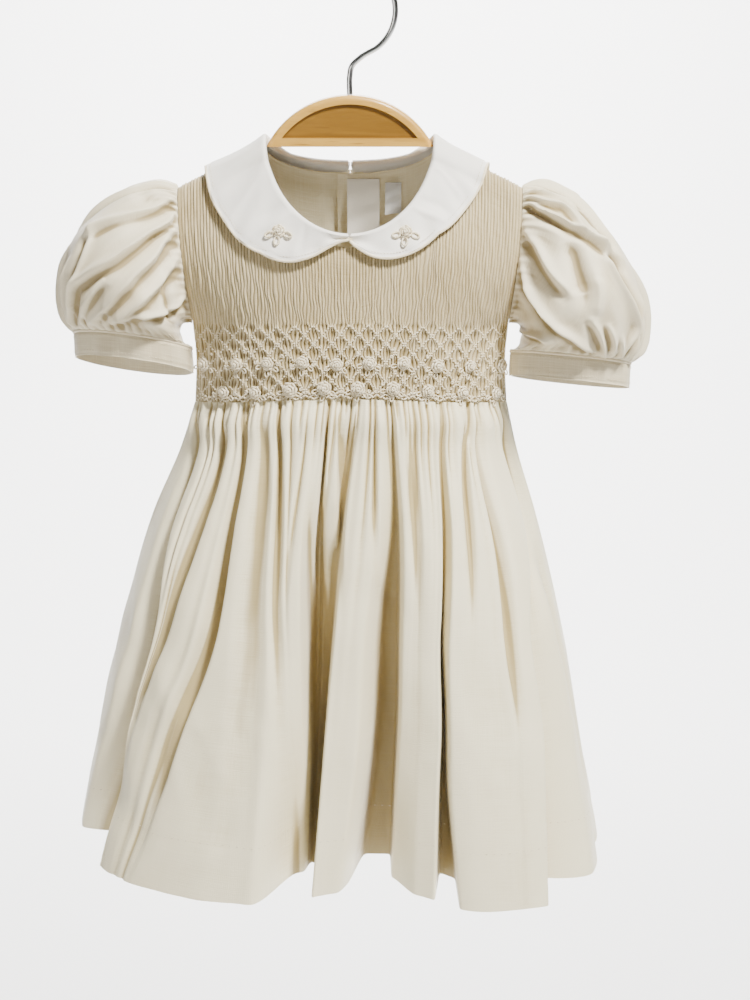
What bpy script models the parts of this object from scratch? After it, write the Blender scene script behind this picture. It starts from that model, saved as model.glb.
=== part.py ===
"""Toddler dress hanging on a wooden hanger, at real size.

The frame's origin is where the hook sits on a rail, under the top of its bow. +Z is up, the dress's
front faces -Y, and its left sleeve as seen from the front is on the -X side. Lengths are in metres.
Each piece that a maker would cut is one closed wall, and seams keep a gap of SEAM.
"""

import math
from collections import namedtuple

import bmesh
import bpy
from mathutils import Matrix, Vector

# ---- cloth
WALL = 0.0012
SEAM = 0.0003
RING_STEP = 0.005  # the same for the skirt's rings, in quarters of the way round
SIDE_SEAM_WALL = 0.0020  # measured across, where front and back meet at the side
STEP = 0.0004  # how far apart a surface is sampled to find its normal

# ---- body of the dress
SHOULDER_HALF = 0.105
NECK_HALF = SHOULDER_HALF / 2
NECK_Z = -0.105
SHOULDER_Z = -0.131
UNDERARM_Z = -0.215
SIDE_BAND_Z = -0.217  # the smocking's top at the side seams
BAND_RISE = 0.010  # how much higher it is at the middle
SIDE_WAIST_Z = -0.266
WAIST_RISE = {"front": 0.014, "back": 0.006}
HEM_Z = -0.555
FRONT_NECK_DROP = 0.052
BACK_NECK_DROP = 0.019
ROLL = 0.0085  # radius of the cloth where it turns over the hanger's arms
SETTLE = 0.060  # the drop over which the cloth leaves the hanger for its full depth
LENS_POWER = 2.6  # how flat the front and back lie between the side seams

# One row for each height: half-width at the side seam's line, half-width where the armhole is cut,
# and how far the front and the back stand from the side seams at the middle.
BODY_COLUMNS = ("z", "side", "cut", "front", "back")
BODY_ROWS = (
    (-0.105, 0.132, 0.105, 0.022, 0.014),
    (-0.131, 0.132, 0.105, 0.029, 0.019),
    (-0.160, 0.126, 0.104, 0.036, 0.025),
    (-0.190, 0.114, 0.101, 0.040, 0.029),
    (-0.206, 0.105, 0.0992, 0.041, 0.030),
    (-0.215, 0.0985, 0.0985, 0.042, 0.031),
    (-0.235, 0.0970, 0.0970, 0.044, 0.033),
    (-0.268, 0.0985, 0.0985, 0.046, 0.035),
)

# ---- smocked front: fine pleats held by a lattice of stitches, with two rows of roses
DIAMONDS = 18
PLEATS_PER_DIAMOND = 6
PLEAT_RISE = 0.0009
KNOT_RISE = 0.0009
BAND_STEPS = 8  # two for each row of diamonds
ROSE_RISE = 0.0018
ROSE_HALF_WIDTH = 0.0046
# One row for each row of roses: its band step, where its first and last rose lie between the side
# seams at -1 and 1, and how many it has.
ROSE_COLUMNS = ("step", "first", "last", "count")
ROSE_ROWS = (
    (4, -0.930, 0.965, 10),
    (7, -0.800, 0.915, 9),
)
FRONT_WALL = 0.0016
ROLL_ANGLES = (0.0, 45.0, 90.0)  # the rows that turn over the hanger's arm, in degrees
YOKE_FRACTIONS = (0.3, 0.65)
INNER_EVERY = 9  # the plain inside has one column for this many outside ones
INNER_CORNER = (1, 2, 3, 4, 6)  # and these more, counted from the neck's corner towards the middle
EDGE_COLUMNS = 4  # over these, the pleats rise from nothing at the armhole and the side
CORNER_X = 0.044  # from here to the shoulder seam the columns close up, where the neckline is steep

# ---- skirt: the outer envelope of its folds, a fraction of the way down from waist to hem: the
# half-width on each side, how far the front and back stand out, how square each front corner is,
# how far the ring is turned in degrees, how much it has left the bodice's flat shape, and how far
# its -X side hangs back.
SKIRT_COLUMNS = ("down", "left", "right", "front", "back", "square_left", "square_right", "turn", "round", "aft")
SKIRT_ROWS = (
    (0.00, 0.0985, 0.0985, 0.0462, 0.0352, 2.2, 2.2, 0.0, 0.0, 0.000),
    (0.10, 0.1080, 0.1050, 0.0560, 0.0430, 2.2, 2.3, 0.3, 0.3, 0.001),
    (0.25, 0.1270, 0.1180, 0.0700, 0.0550, 2.3, 2.6, 0.8, 0.7, 0.003),
    (0.55, 0.1530, 0.1390, 0.0940, 0.0740, 2.5, 3.2, 1.8, 1.0, 0.009),
    (0.80, 0.1705, 0.1520, 0.1130, 0.0860, 2.6, 4.0, 2.6, 1.0, 0.014),
    (1.00, 0.1820, 0.1630, 0.1280, 0.0940, 2.7, 4.5, 3.0, 1.0, 0.018),
)
# One row for each valley between two folds. Places across the panel run from 0 at the seam on the
# dress's -X side to 1 at the other, at the waist, at middle height and at the hem. Depths are a
# quarter of the way down, at middle height and at the hem. The half-widths are at middle height and
# at the hem, in the same terms as the places.
Valley = namedtuple("Valley", "waist middle hem upper centre lower half_middle half_hem")
FRONT_VALLEYS = (
    (0.050, 0.182, 0.170, 0.0080, 0.014, 0.026, 0.020, 0.040),
    (0.135, 0.243, 0.258, 0.0060, 0.003, 0.001, 0.011, 0.014),
    (0.210, 0.311, 0.300, 0.0080, 0.013, 0.003, 0.014, 0.014),
    (0.250, 0.360, 0.352, 0.0050, 0.002, 0.001, 0.011, 0.014),
    (0.300, 0.396, 0.390, 0.0060, 0.005, 0.002, 0.010, 0.010),
    (0.350, 0.424, 0.422, 0.0060, 0.004, 0.020, 0.009, 0.013),
    (0.455, 0.461, 0.456, 0.0120, 0.032, 0.036, 0.020, 0.012),
    (0.540, 0.516, 0.500, 0.0030, 0.002, 0.003, 0.009, 0.008),
    (0.630, 0.561, 0.536, 0.0110, 0.027, 0.044, 0.018, 0.022),
    (0.680, 0.606, 0.586, 0.0060, 0.002, 0.007, 0.010, 0.012),
    (0.750, 0.643, 0.623, 0.0100, 0.019, 0.033, 0.011, 0.012),
    (0.850, 0.688, 0.665, 0.0060, 0.003, 0.001, 0.011, 0.012),
    (0.895, 0.740, 0.712, 0.0080, 0.010, 0.001, 0.012, 0.012),
    (0.932, 0.815, 0.772, 0.0080, 0.016, 0.034, 0.018, 0.032),
    (0.958, 0.900, 0.900, 0.0040, 0.004, 0.003, 0.016, 0.024),
)
BACK_VALLEYS = (
    (0.060, 0.085, 0.090, 0.0080, 0.014, 0.020, 0.016, 0.020),
    (0.120, 0.150, 0.158, 0.0060, 0.005, 0.003, 0.013, 0.018),
    (0.180, 0.218, 0.228, 0.0100, 0.024, 0.038, 0.016, 0.020),
    (0.245, 0.280, 0.288, 0.0060, 0.006, 0.004, 0.013, 0.018),
    (0.310, 0.345, 0.352, 0.0090, 0.018, 0.022, 0.014, 0.018),
    (0.375, 0.400, 0.408, 0.0060, 0.005, 0.004, 0.012, 0.018),
    (0.440, 0.460, 0.466, 0.0110, 0.027, 0.044, 0.017, 0.020),
    (0.505, 0.520, 0.524, 0.0060, 0.005, 0.004, 0.012, 0.018),
    (0.570, 0.577, 0.580, 0.0090, 0.014, 0.016, 0.014, 0.018),
    (0.635, 0.636, 0.637, 0.0070, 0.008, 0.006, 0.013, 0.018),
    (0.700, 0.695, 0.696, 0.0100, 0.020, 0.036, 0.020, 0.022),
    (0.765, 0.752, 0.752, 0.0060, 0.006, 0.004, 0.013, 0.018),
    (0.830, 0.812, 0.810, 0.0090, 0.016, 0.024, 0.014, 0.018),
    (0.890, 0.868, 0.866, 0.0060, 0.005, 0.004, 0.013, 0.018),
    (0.945, 0.926, 0.922, 0.0080, 0.012, 0.016, 0.016, 0.020),
)
# The front also hangs back between its two widest panels, from nothing at the waist to this at the hem.
HOLLOW_PLACE = 0.540
HOLLOW_HALF = 0.085
HOLLOW_DEPTH = 0.022
WAIST_HALF_SHARE = 0.75  # a valley's half-width at the waist, as a share of that at middle height
WAIST_DEPTH = 0.0015
UPPER_DOWN = 0.25
MIDDLE_DOWN = 0.45
COLUMN_OFFSETS = (-1.1, 0.0, 1.1)
LEAST_SPACING = 0.0055  # between two columns, as a share of the panel
LEAST_CORNER = 0.45  # limits how far the inside corner of a sharp fold reaches
SKIRT_DOWNS = (0.0, 0.06, 0.18, 0.34, 0.55, 0.78, 1.0)

# ---- sleeves: puffed from the armhole to the cuff
GATHERS = 12
SLEEVE_STEPS = (0.0, 0.05, 0.14, 0.28, 0.45, 0.62, 0.78, 0.91, 1.0)
GATHER_RISE = 0.0024
ARMHOLE_GAP = 0.0009
CUFF_HEIGHT = 0.0150
CUFF_WALL = 0.0014
CUFF_PARTS = 28
PIPING_RADIUS = 0.0009
PIPING_SIDES = 4
# One row for each sleeve: which side, the cuff's centre, its half-width across and front to back,
# how much its outer end sits above its inner one, how much its front sits above its back, how the
# puff leaves the shoulder outwards and upwards, how it comes in and down to the cuff's outer end, and
# how far it swells forwards and backwards.
Sleeve = namedtuple("Sleeve", "side x y z half deep outer lift out up tuck drop fore aft")
SLEEVE_ROWS = (
    (-1, 0.1362, 0.001, -0.2320, 0.0370, 0.0216, 0.010, 0.019, 0.083, 0.066, 0.088, 0.158, 0.085, 0.078),
    (1, 0.1370, -0.008, -0.2315, 0.0378, 0.0188, -0.008, 0.012, 0.092, 0.052, 0.106, 0.115, 0.088, 0.082),
)
UNDERARM_SWELL = 0.026
UNDERARM_DROP = 0.014

# ---- collar
COLLAR_MIDDLE = 0.0014  # its width where the halves meet
COLLAR_WIDTH = 0.0355
COLLAR_POWER = 2.15  # how it narrows from the shoulder to the front
COLLAR_ROUNDING = (0.67, 0.25)  # where its front corner begins to round off, and over how much of the front
COLLAR_PARTS = 26
COLLAR_ACROSS = (0.0, 0.16, 0.5, 0.8, 1.0)
COLLAR_GAP = 0.0010
COLLAR_ROLL = 0.0030  # how far its fold stands off the neck seam
COLLAR_EDGE_LIFT = 0.0016
FRONT_SHARE = 0.60  # the part of the half-collar that lies in front of the shoulder

# ---- back opening
LAP_HALF = 0.008
LAP_BLEND = 0.009
BACK_STATIONS = (0.030, 0.041, 0.0470, 0.0503, 0.0519, NECK_HALF, 0.064, 0.078, 0.092, SHOULDER_HALF)
BACK_FRACTIONS = (0.2, 0.4, 0.6, 0.8, 1.0)
BUTTON_RADIUS = 0.0048
BUTTON_THICK = 0.0020
BUTTON_ZS = (-0.165, -0.204, -0.243)

# ---- label and tab inside the back of the neck
LABEL_X = (-0.002, 0.018)
LABEL_Z = (-0.1265, -0.164)
TAB_X = (0.0215, 0.0315)
TAB_Z = (-0.1290, -0.149)
LABEL_THICK = 0.0010
LABEL_GAP = 0.0008

# ---- hanger
BOARD_HALF = 0.0050
BOARD_BEVEL = 0.0028
ARCH_RADIUS = 0.057
ARCH_TOP_Z = -0.075
ARCH_END_X = 0.050
BAR_LOW_Z = -0.1055
PANEL_SINK = 0.0012
PANEL_RIM = 0.0052
WIRE_RADIUS = 0.0018
BOW_INNER = 0.0255
BOW_START, BOW_END = -48.0, 172.0  # degrees round the bow, from where the stem joins to its tip
STEM_TOP_Z = -0.0585


def clear_scene():
    for obj in list(bpy.data.objects):
        bpy.data.objects.remove(obj)


def material(name, colour, roughness, metallic=0.0):
    made = bpy.data.materials.new(name)
    made.use_nodes = True
    shader = made.node_tree.nodes["Principled BSDF"]
    shader.inputs["Base Color"].default_value = (*colour, 1.0)
    shader.inputs["Roughness"].default_value = roughness
    shader.inputs["Metallic"].default_value = metallic
    made.diffuse_color = (*colour, 1.0)
    return made


def mix(a, b, share):
    return a + (b - a) * share


def smooth(share):
    share = min(1.0, max(0.0, share))
    return share * share * (3.0 - 2.0 * share)


def look_up(columns, rows, column, at):
    """The value of one column where the first column is at, straight between its rows."""
    place = columns.index(column)
    rows = sorted(rows)
    if at <= rows[0][0]:
        return rows[0][place]
    for low, high in zip(rows, rows[1:]):
        if at <= high[0]:
            return mix(low[place], high[place], (at - low[0]) / (high[0] - low[0]))
    return rows[-1][place]


def body_size(column, z):
    return look_up(BODY_COLUMNS, BODY_ROWS, column, z)


# ---- building walls


def add_object(name, mesh, finish, sharp_angle=35.0):
    obj = bpy.data.objects.new(name, mesh)
    bpy.context.scene.collection.objects.link(obj)
    mesh.materials.append(finish)
    mesh.shade_smooth()
    mesh.set_sharp_from_angle(angle=math.radians(sharp_angle))
    return obj


def mesh_from(name, points, faces):
    mesh = bpy.data.meshes.new(name)
    mesh.from_pydata([tuple(p) for p in points], [], faces)
    shape = bmesh.new()
    shape.from_mesh(mesh)
    bmesh.ops.recalc_face_normals(shape, faces=shape.faces)
    if shape.calc_volume(signed=True) < 0:
        bmesh.ops.reverse_faces(shape, faces=shape.faces)
    shape.to_mesh(mesh)
    shape.free()
    return mesh


def wall(name, outer, inner, ring=False):
    """A closed wall between two grids of points of the same size. ring joins the last column to the first."""
    rows, columns = len(outer), len(outer[0])
    points = [p for row in outer for p in row] + [p for row in inner for p in row]
    other = rows * columns
    spans = [(c, (c + 1) % columns) for c in range(columns if ring else columns - 1)]
    faces = []
    for r in range(rows - 1):
        for a, b in spans:
            low, high = r * columns, (r + 1) * columns
            faces.append((low + a, low + b, high + b, high + a))
            faces.append((other + low + b, other + low + a, other + high + a, other + high + b))
    for a, b in spans:
        last = (rows - 1) * columns
        faces.append((a, other + a, other + b, b))
        faces.append((last + b, other + last + b, other + last + a, last + a))
    if not ring:
        for r in range(rows - 1):
            for column in (0, columns - 1):
                low, high = r * columns + column, (r + 1) * columns + column
                faces.append((low, high, other + high, other + low))
    return mesh_from(name, points, faces)


def tube(name, line, radius, sides, closed, finish):
    """A round cord along a line of points."""
    curve = bpy.data.curves.new(name, "CURVE")
    curve.dimensions = "3D"
    curve.bevel_depth = radius
    curve.bevel_resolution = max(0, sides // 2 - 2)
    curve.use_fill_caps = not closed
    spline = curve.splines.new("POLY")
    spline.points.add(len(line) - 1)
    for point, place in zip(spline.points, line):
        point.co = (*place, 1.0)
    spline.use_cyclic_u = closed
    curve.materials.append(finish)
    obj = bpy.data.objects.new(name, curve)
    bpy.context.scene.collection.objects.link(obj)
    return obj


def ring_tube(name, line, radius, sides, finish, closed):
    """A round cord as a mesh whose cross-sections stay upright, for a cord that lies in a seam."""
    count = len(line)
    points = []
    for i, place in enumerate(line):
        ahead = line[(i + 1) % count] if closed or i + 1 < count else place
        behind = line[i - 1] if closed or i else place
        along = (Vector(ahead) - Vector(behind)).normalized()
        across = along.cross(Vector((0.0, 0.0, 1.0))).normalized()
        upward = across.cross(along)
        for s in range(sides):
            angle = 2 * math.pi * s / sides
            points.append(Vector(place) + radius * (math.cos(angle) * across + math.sin(angle) * upward))
    faces = []
    for i in range(count if closed else count - 1):
        j = (i + 1) % count
        for s in range(sides):
            t = (s + 1) % sides
            faces.append((i * sides + s, i * sides + t, j * sides + t, j * sides + s))
    if not closed:
        faces.append(tuple(range(sides)))
        faces.append(tuple(range((count - 1) * sides, count * sides)))
    return add_object(name, mesh_from(name, points, faces), finish, 80.0)


# ---- the body's surface


def shoulder_line(x):
    """Height of the shoulder seam, and of its level run above the neck."""
    share = max(0.0, abs(x) - NECK_HALF) / (SHOULDER_HALF - NECK_HALF)
    return mix(NECK_Z, SHOULDER_Z, share)


def body_depth(x, z, column):
    """How far the cloth's outer face stands from the plane of the side seams."""
    drop = max(0.0, shoulder_line(x) - z)
    full = body_size(column, z) * (1.0 - min(1.0, abs(x) / body_size("side", z)) ** LENS_POWER)
    if drop < ROLL:
        return math.sqrt(max(0.0, ROLL**2 - (ROLL - drop) ** 2))
    settled = min(1.0, (drop - ROLL) / SETTLE)
    return mix(ROLL, full, settled * (2.0 - settled))


def surface_point(x, z, column, lift=0.0):
    """A point on the front or back, moved out along the surface's normal by lift."""
    way = -1.0 if column == "front" else 1.0
    place = Vector((x, way * body_depth(x, z, column), z))
    if not lift:
        return place
    return place + lift * surface_normal(x, z, column)


def surface_normal(x, z, column):
    way = -1.0 if column == "front" else 1.0
    top = shoulder_line(x)
    high, low = min(z + STEP, top), min(z, top - STEP) - STEP
    side = body_size("cut", z)
    left, right = max(x - STEP, -side), min(x + STEP, side)
    down = Vector((0.0, way * (body_depth(x, low, column) - body_depth(x, high, column)), low - high))
    across = Vector((right - left, way * (body_depth(right, z, column) - body_depth(left, z, column)), 0.0))
    normal = across.cross(down) * way
    if normal.y * way < 0 and abs(normal.y) > abs(normal.z):
        normal = -normal
    return normal.normalized()


def panel_normal(x, z, column):
    """The surface's normal, with no sideways part where the cloth turns over the hanger's arm."""
    drop = shoulder_line(x) - z
    if drop < STEP:
        return Vector((0.0, 0.0, 1.0))
    normal = surface_normal(x, z, column)
    if drop < ROLL:
        normal.x = 0.0
    return normal.normalized()


def neck_top(x, neck_drop):
    """The height of a panel's top edge: the shoulder seam, or the neckline between the shoulders."""
    if abs(x) >= NECK_HALF:
        return shoulder_line(x)
    return NECK_Z - neck_drop * math.sqrt(1.0 - (x / NECK_HALF) ** 2)


def waist_z(share, column):
    """The waist seam, which droops from the middle to the side seams."""
    return SIDE_WAIST_Z + WAIST_RISE[column] * (1.0 - share**2)


def band_top_z(share):
    return SIDE_BAND_Z + BAND_RISE * (1.0 - share**2)


def column_top(share, neck_drop):
    """Where a panel's column starts: x and z on the neckline or the shoulder seam."""
    x = abs(share) * (SHOULDER_HALF - SEAM / 2)
    if CORNER_X < x < NECK_HALF:
        spare = (NECK_HALF - x) / (NECK_HALF - CORNER_X)
        x = NECK_HALF - (NECK_HALF - CORNER_X) * spare**3
    return math.copysign(x, share), neck_top(x, neck_drop)


def roll_drops():
    """How far below a panel's top edge its first rows lie."""
    return [ROLL * (1.0 - math.cos(math.radians(angle))) for angle in ROLL_ANGLES]


def column_x(x_top, share, fraction, z):
    """Where a column lies across the panel, whose side follows the armhole."""
    spread = mix(x_top, share * (SHOULDER_HALF - SEAM / 2), fraction)
    return spread + share * (body_size("cut", z) - SHOULDER_HALF)


def inner_point(place, x, z, column, share, thick):
    """The wall's inner point below an outer one."""
    at_side = abs(share) > 0.999
    below_arm = z < UNDERARM_Z + 0.004
    if at_side and below_arm:
        return place - Vector((math.copysign(SIDE_SEAM_WALL, x), 0.0, 0.0))
    return place - thick * panel_normal(x, z, column)


def seam_shift(place, column):
    """Keeps a point half a seam on its own side of the plane where front and back meet."""
    half = SEAM / 2
    if column == "front":
        return Vector((place.x, min(place.y, -half), place.z))
    return Vector((place.x, max(place.y, half), place.z))


# ---- smocked front


def rose_rise(share, step):
    """Height of the roses, evenly spaced along each of their rows."""
    for values in ROSE_ROWS:
        row = dict(zip(ROSE_COLUMNS, values))
        if step != row["step"]:
            continue
        spacing = (row["last"] - row["first"]) / (row["count"] - 1)
        nearest = min(row["count"] - 1, max(0, round((share - row["first"]) / spacing)))
        away = abs(share - row["first"] - nearest * spacing) * body_size("side", SIDE_BAND_Z)
        return ROSE_RISE * math.sqrt(max(0.0, 1.0 - (away / ROSE_HALF_WIDTH) ** 2))
    return 0.0


def knot_rise(column, step):
    """Height of the stitches that pull the pleats together at the diamonds' corners."""
    period = 2 * PLEATS_PER_DIAMOND
    away = (column + PLEATS_PER_DIAMOND * (step % 2)) % period
    away = min(away, period - away)
    return KNOT_RISE * max(0.0, 1.0 - away / 3.0)


def smocked_row(kind, value, share):
    """Where a column meets one row: x and z. Rows are drops from the top, fractions or band steps."""
    x_top, top = column_top(share, FRONT_NECK_DROP)
    band_top, waist = band_top_z(share), waist_z(share, "front") + SEAM / 2
    if kind == "roll":
        z, fraction = top - value, 0.0
    elif kind == "yoke":
        z, fraction = mix(top - ROLL, band_top, value), value
    else:
        z, fraction = mix(band_top, waist, value / BAND_STEPS), 1.0
    return column_x(x_top, share, fraction, z), z


def build_smocked_front(finish):
    columns = 2 * PLEATS_PER_DIAMOND * DIAMONDS
    kept = inner_columns(columns)
    rows = [("roll", drop) for drop in roll_drops()]
    rows += [("yoke", fraction) for fraction in YOKE_FRACTIONS]
    rows += [("band", step) for step in range(BAND_STEPS + 1)]
    outer, inner = [], []
    for kind, value in rows:
        outer_row, inner_row = [], []
        for c in range(columns + 1):
            share = 2.0 * c / columns - 1.0
            x, z = smocked_row(kind, value, share)
            rise = PLEAT_RISE if c % 2 else 0.0
            if kind == "band":
                rise += knot_rise(c, value) + rose_rise(share, value)
            rise *= min(1.0, min(c, columns - c) / EDGE_COLUMNS)
            base = seam_shift(surface_point(x, z, "front"), "front")
            outer_row.append(base + rise * panel_normal(x, z, "front"))
            if c in kept:
                inner_row.append(inner_point(base, x, z, "front", share, FRONT_WALL))
        outer.append(outer_row)
        inner.append(inner_row)
    return add_object("front_smocked", coarse_inside_wall("front_smocked", outer, inner, kept), finish, 25.0)


def inner_columns(columns):
    """The outer columns that the plain inside shares."""
    corner = round(columns / 2 * NECK_HALF / SHOULDER_HALF)
    near = [corner - extra for extra in INNER_CORNER]
    return [c for c in range(columns + 1) if c % INNER_EVERY == 0 or abs(c - columns // 2) in near]


def coarse_inside_wall(name, outer, inner, kept):
    """A wall whose inner grid has only the kept columns of the outer grid."""
    rows, columns, few = len(outer), len(outer[0]), len(kept)
    points = [p for row in outer for p in row] + [p for row in inner for p in row]
    other = rows * columns
    faces = []
    for r in range(rows - 1):
        for c in range(columns - 1):
            low, high = r * columns + c, (r + 1) * columns + c
            faces.append((low, low + 1, high + 1, high))
        for c in range(few - 1):
            low, high = other + r * few + c, other + (r + 1) * few + c
            faces.append((low + 1, low, high, high + 1))
        for side, side_few in ((0, 0), (columns - 1, few - 1)):
            low, high = r * columns + side, (r + 1) * columns + side
            faces.append((low, high, other + (r + 1) * few + side_few, other + r * few + side_few))
    for r in (0, rows - 1):
        for c in range(few - 1):
            near = [r * columns + i for i in range(kept[c], kept[c + 1] + 1)]
            faces.append((*near, other + r * few + c + 1, other + r * few + c))
    return mesh_from(name, points, faces)


# ---- backs


def lap_lift(station):
    """How far the upper back stands off the lower one, eased away past the lap."""
    return (WALL + SEAM) * (1.0 - smooth((station - LAP_HALF - SEAM) / LAP_BLEND))


def build_back(name, side, finish):
    """side 1 is the back that lies under the lap, and -1 is the one that lies over it."""
    rows = [("roll", drop) for drop in roll_drops()] + [("yoke", fraction) for fraction in BACK_FRACTIONS]
    lap_end = LAP_HALF + SEAM
    stations = (-LAP_HALF, 0.0, lap_end, lap_end + LAP_BLEND, *BACK_STATIONS)
    outer, inner = [], []
    for kind, value in rows:
        outer_row, inner_row = [], []
        for station in stations:
            x_top = min(station, SHOULDER_HALF - SEAM / 2)
            top = neck_top(x_top, BACK_NECK_DROP)
            waist = waist_z(station / SHOULDER_HALF, "back") + SEAM / 2
            z = top - value if kind == "roll" else mix(top - ROLL, waist, value)
            spare = max(0.0, station - lap_end) / (SHOULDER_HALF - lap_end)
            x = side * (x_top + spare * (body_size("cut", z) - SHOULDER_HALF))
            lift = lap_lift(station) if side < 0 else 0.0
            place = seam_shift(surface_point(x, z, "back"), "back")
            normal = panel_normal(x, z, "back")
            outer_row.append(place + lift * normal)
            share = 1.0 if station == SHOULDER_HALF else 0.0
            inner_row.append(inner_point(place, x, z, "back", share, WALL) + lift * normal)
        outer.append(outer_row)
        inner.append(inner_row)
    return add_object(name, wall(name, outer, inner), finish)


def build_buttons(finish):
    for number, z in enumerate(BUTTON_ZS, 1):
        normal = surface_normal(0.0, z, "back")
        seat = surface_point(0.0, z, "back", WALL + 2 * SEAM)
        bm = bmesh.new()
        bmesh.ops.create_cone(
            bm, cap_ends=True, segments=12, radius1=BUTTON_RADIUS, radius2=BUTTON_RADIUS, depth=BUTTON_THICK
        )
        rims = [e for e in bm.edges if abs(e.verts[0].co.z - e.verts[1].co.z) < STEP]
        bmesh.ops.bevel(bm, geom=rims, offset=BUTTON_THICK * 0.3, segments=1, affect="EDGES")
        turn = normal.to_track_quat("Z", "Y").to_matrix().to_4x4()
        centre = seat + normal * BUTTON_THICK / 2
        bm.transform(Matrix.Translation(centre) @ turn)
        mesh = bpy.data.meshes.new(f"button_{number}")
        bm.to_mesh(mesh)
        bm.free()
        add_object(f"button_{number}", mesh, finish)


def build_label(name, xs, zs, finish):
    """A flat piece that lies against the inside of the back, whose edges are straight."""
    outer, inner = [], []
    for z_share in (0.0, 0.5, 1.0):
        z = mix(*zs, z_share)
        across = [mix(*xs, x_share) for x_share in (0.0, 0.5, 1.0)]
        outer.append([surface_point(x, z, "back", -WALL - LABEL_GAP) for x in across])
        inner.append([surface_point(x, z, "back", -WALL - LABEL_GAP - LABEL_THICK) for x in across])
    return add_object(name, wall(name, outer, inner), finish)


# ---- skirt


def skirt_size(column, down):
    return look_up(SKIRT_COLUMNS, SKIRT_ROWS, column, down)


def skirt_envelope(around, down):
    """The outer envelope of the folds. around runs 0 to 2 over the front from -X, and on to 4 over the back."""
    around %= 4.0
    front = around <= 2.0
    across = around - 1.0 if front else 3.0 - around
    hand = "left" if across < 0 else "right"
    side = skirt_size(hand, down)
    deep = skirt_size("front" if front else "back", down)
    square = skirt_size("square_" + hand, down) if front else 2.2
    angle = across * math.pi / 2
    sine, cosine = math.sin(angle), max(0.0, math.cos(angle))
    reach = (abs(sine) ** square + cosine**square) ** (-1.0 / square)
    share = skirt_size("round", down)
    x = mix(side * across, side * sine * reach, share)
    y = mix(deep * (1.0 - abs(across) ** LENS_POWER), deep * cosine * reach, share)
    y = (-y if front else y) + skirt_size("aft", down) * max(0.0, -across) ** 3
    turn = math.radians(skirt_size("turn", down))
    top = waist_z(across, "front" if front else "back") - SEAM / 2
    return Vector(
        (
            x * math.cos(turn) + y * math.sin(turn),
            y * math.cos(turn) - x * math.sin(turn),
            mix(top, HEM_Z, down),
        )
    )


def level_normal(along):
    """The outward level normal of a part of a ring that runs as along does."""
    return Vector((along.y, -along.x, 0.0)).normalized()


def ring_normal(points, around, down):
    """The outward level normal of a closed ring given as points(around, down)."""
    return level_normal(points(around + RING_STEP, down) - points(around - RING_STEP, down))


def valleys_of(panel):
    return [Valley(*row) for row in (FRONT_VALLEYS if panel == "front" else BACK_VALLEYS)]


def valley_place(row, down):
    if down < MIDDLE_DOWN:
        return mix(row.waist, row.middle, down / MIDDLE_DOWN)
    return mix(row.middle, row.hem, (down - MIDDLE_DOWN) / (1.0 - MIDDLE_DOWN))


def valley_depth(row, down):
    if down < UPPER_DOWN:
        return mix(WAIST_DEPTH, row.upper, smooth(down / UPPER_DOWN))
    if down < MIDDLE_DOWN:
        return mix(row.upper, row.centre, (down - UPPER_DOWN) / (MIDDLE_DOWN - UPPER_DOWN))
    return mix(row.centre, row.lower, (down - MIDDLE_DOWN) / (1.0 - MIDDLE_DOWN))


def valley_half(row, down):
    if down < MIDDLE_DOWN:
        return row.half_middle * mix(WAIST_HALF_SHARE, 1.0, down / MIDDLE_DOWN)
    return mix(row.half_middle, row.half_hem, (down - MIDDLE_DOWN) / (1.0 - MIDDLE_DOWN))


def fold_depth(around, down):
    """How far the cloth lies inside the envelope."""
    around %= 4.0
    front = around <= 2.0
    place = around / 2.0 if front else (4.0 - around) / 2.0
    total = 0.0
    for row in valleys_of("front" if front else "back"):
        away = (place - valley_place(row, down)) / valley_half(row, down)
        if abs(away) < 3.0:
            total += valley_depth(row, down) * math.exp(-(away**2))
    if front:
        total += HOLLOW_DEPTH * down**1.5 * math.exp(-(((place - HOLLOW_PLACE) / HOLLOW_HALF) ** 4))
    return total


def skirt_point(around, down):
    return skirt_envelope(around, down) - ring_normal(skirt_envelope, around, down) * fold_depth(around, down)


def skirt_places(valleys, down):
    """Where a panel's columns lie at one height: three to a valley and one on the fold between two."""
    found = [0.0]
    for row, after in zip(valleys, valleys[1:] + [None]):
        centre, half = valley_place(row, down), valley_half(row, down)
        found += [centre + offset * half for offset in COLUMN_OFFSETS]
        if after:
            ends = centre + half, valley_place(after, down) - valley_half(after, down)
            found.append(sum(ends) / 2)
    return spread_places(found + [1.0])


def spread_places(places):
    """Pushes neighbouring places apart, within 0 and 1."""
    made = list(places)
    for i in range(1, len(made)):
        made[i] = max(made[i], made[i - 1] + LEAST_SPACING)
    made[-1] = 1.0
    for i in range(len(made) - 2, -1, -1):
        made[i] = min(made[i], made[i + 1] - LEAST_SPACING)
    made[0] = 0.0
    return made


def skirt_seam(around, down, front):
    """A side seam's outer and inner points, on the front's or the back's side of it."""
    shift = Vector((0.0, -SEAM / 2 if front else SEAM / 2, 0.0))
    place = skirt_envelope(around, down) + shift
    return place, place - Vector((math.copysign(SIDE_SEAM_WALL, place.x), 0.0, 0.0))


def inside_corner(before, point, after, front):
    """The corner inside a point of the outer row, one wall in from both of the faces that meet there."""
    normals = [level_normal(point - before), level_normal(after - point)]
    corner = (normals[0] + normals[1]).normalized()
    reach = WALL / max(LEAST_CORNER, corner.dot(normals[0]))
    return point - corner * (reach if front else -reach)


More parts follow.
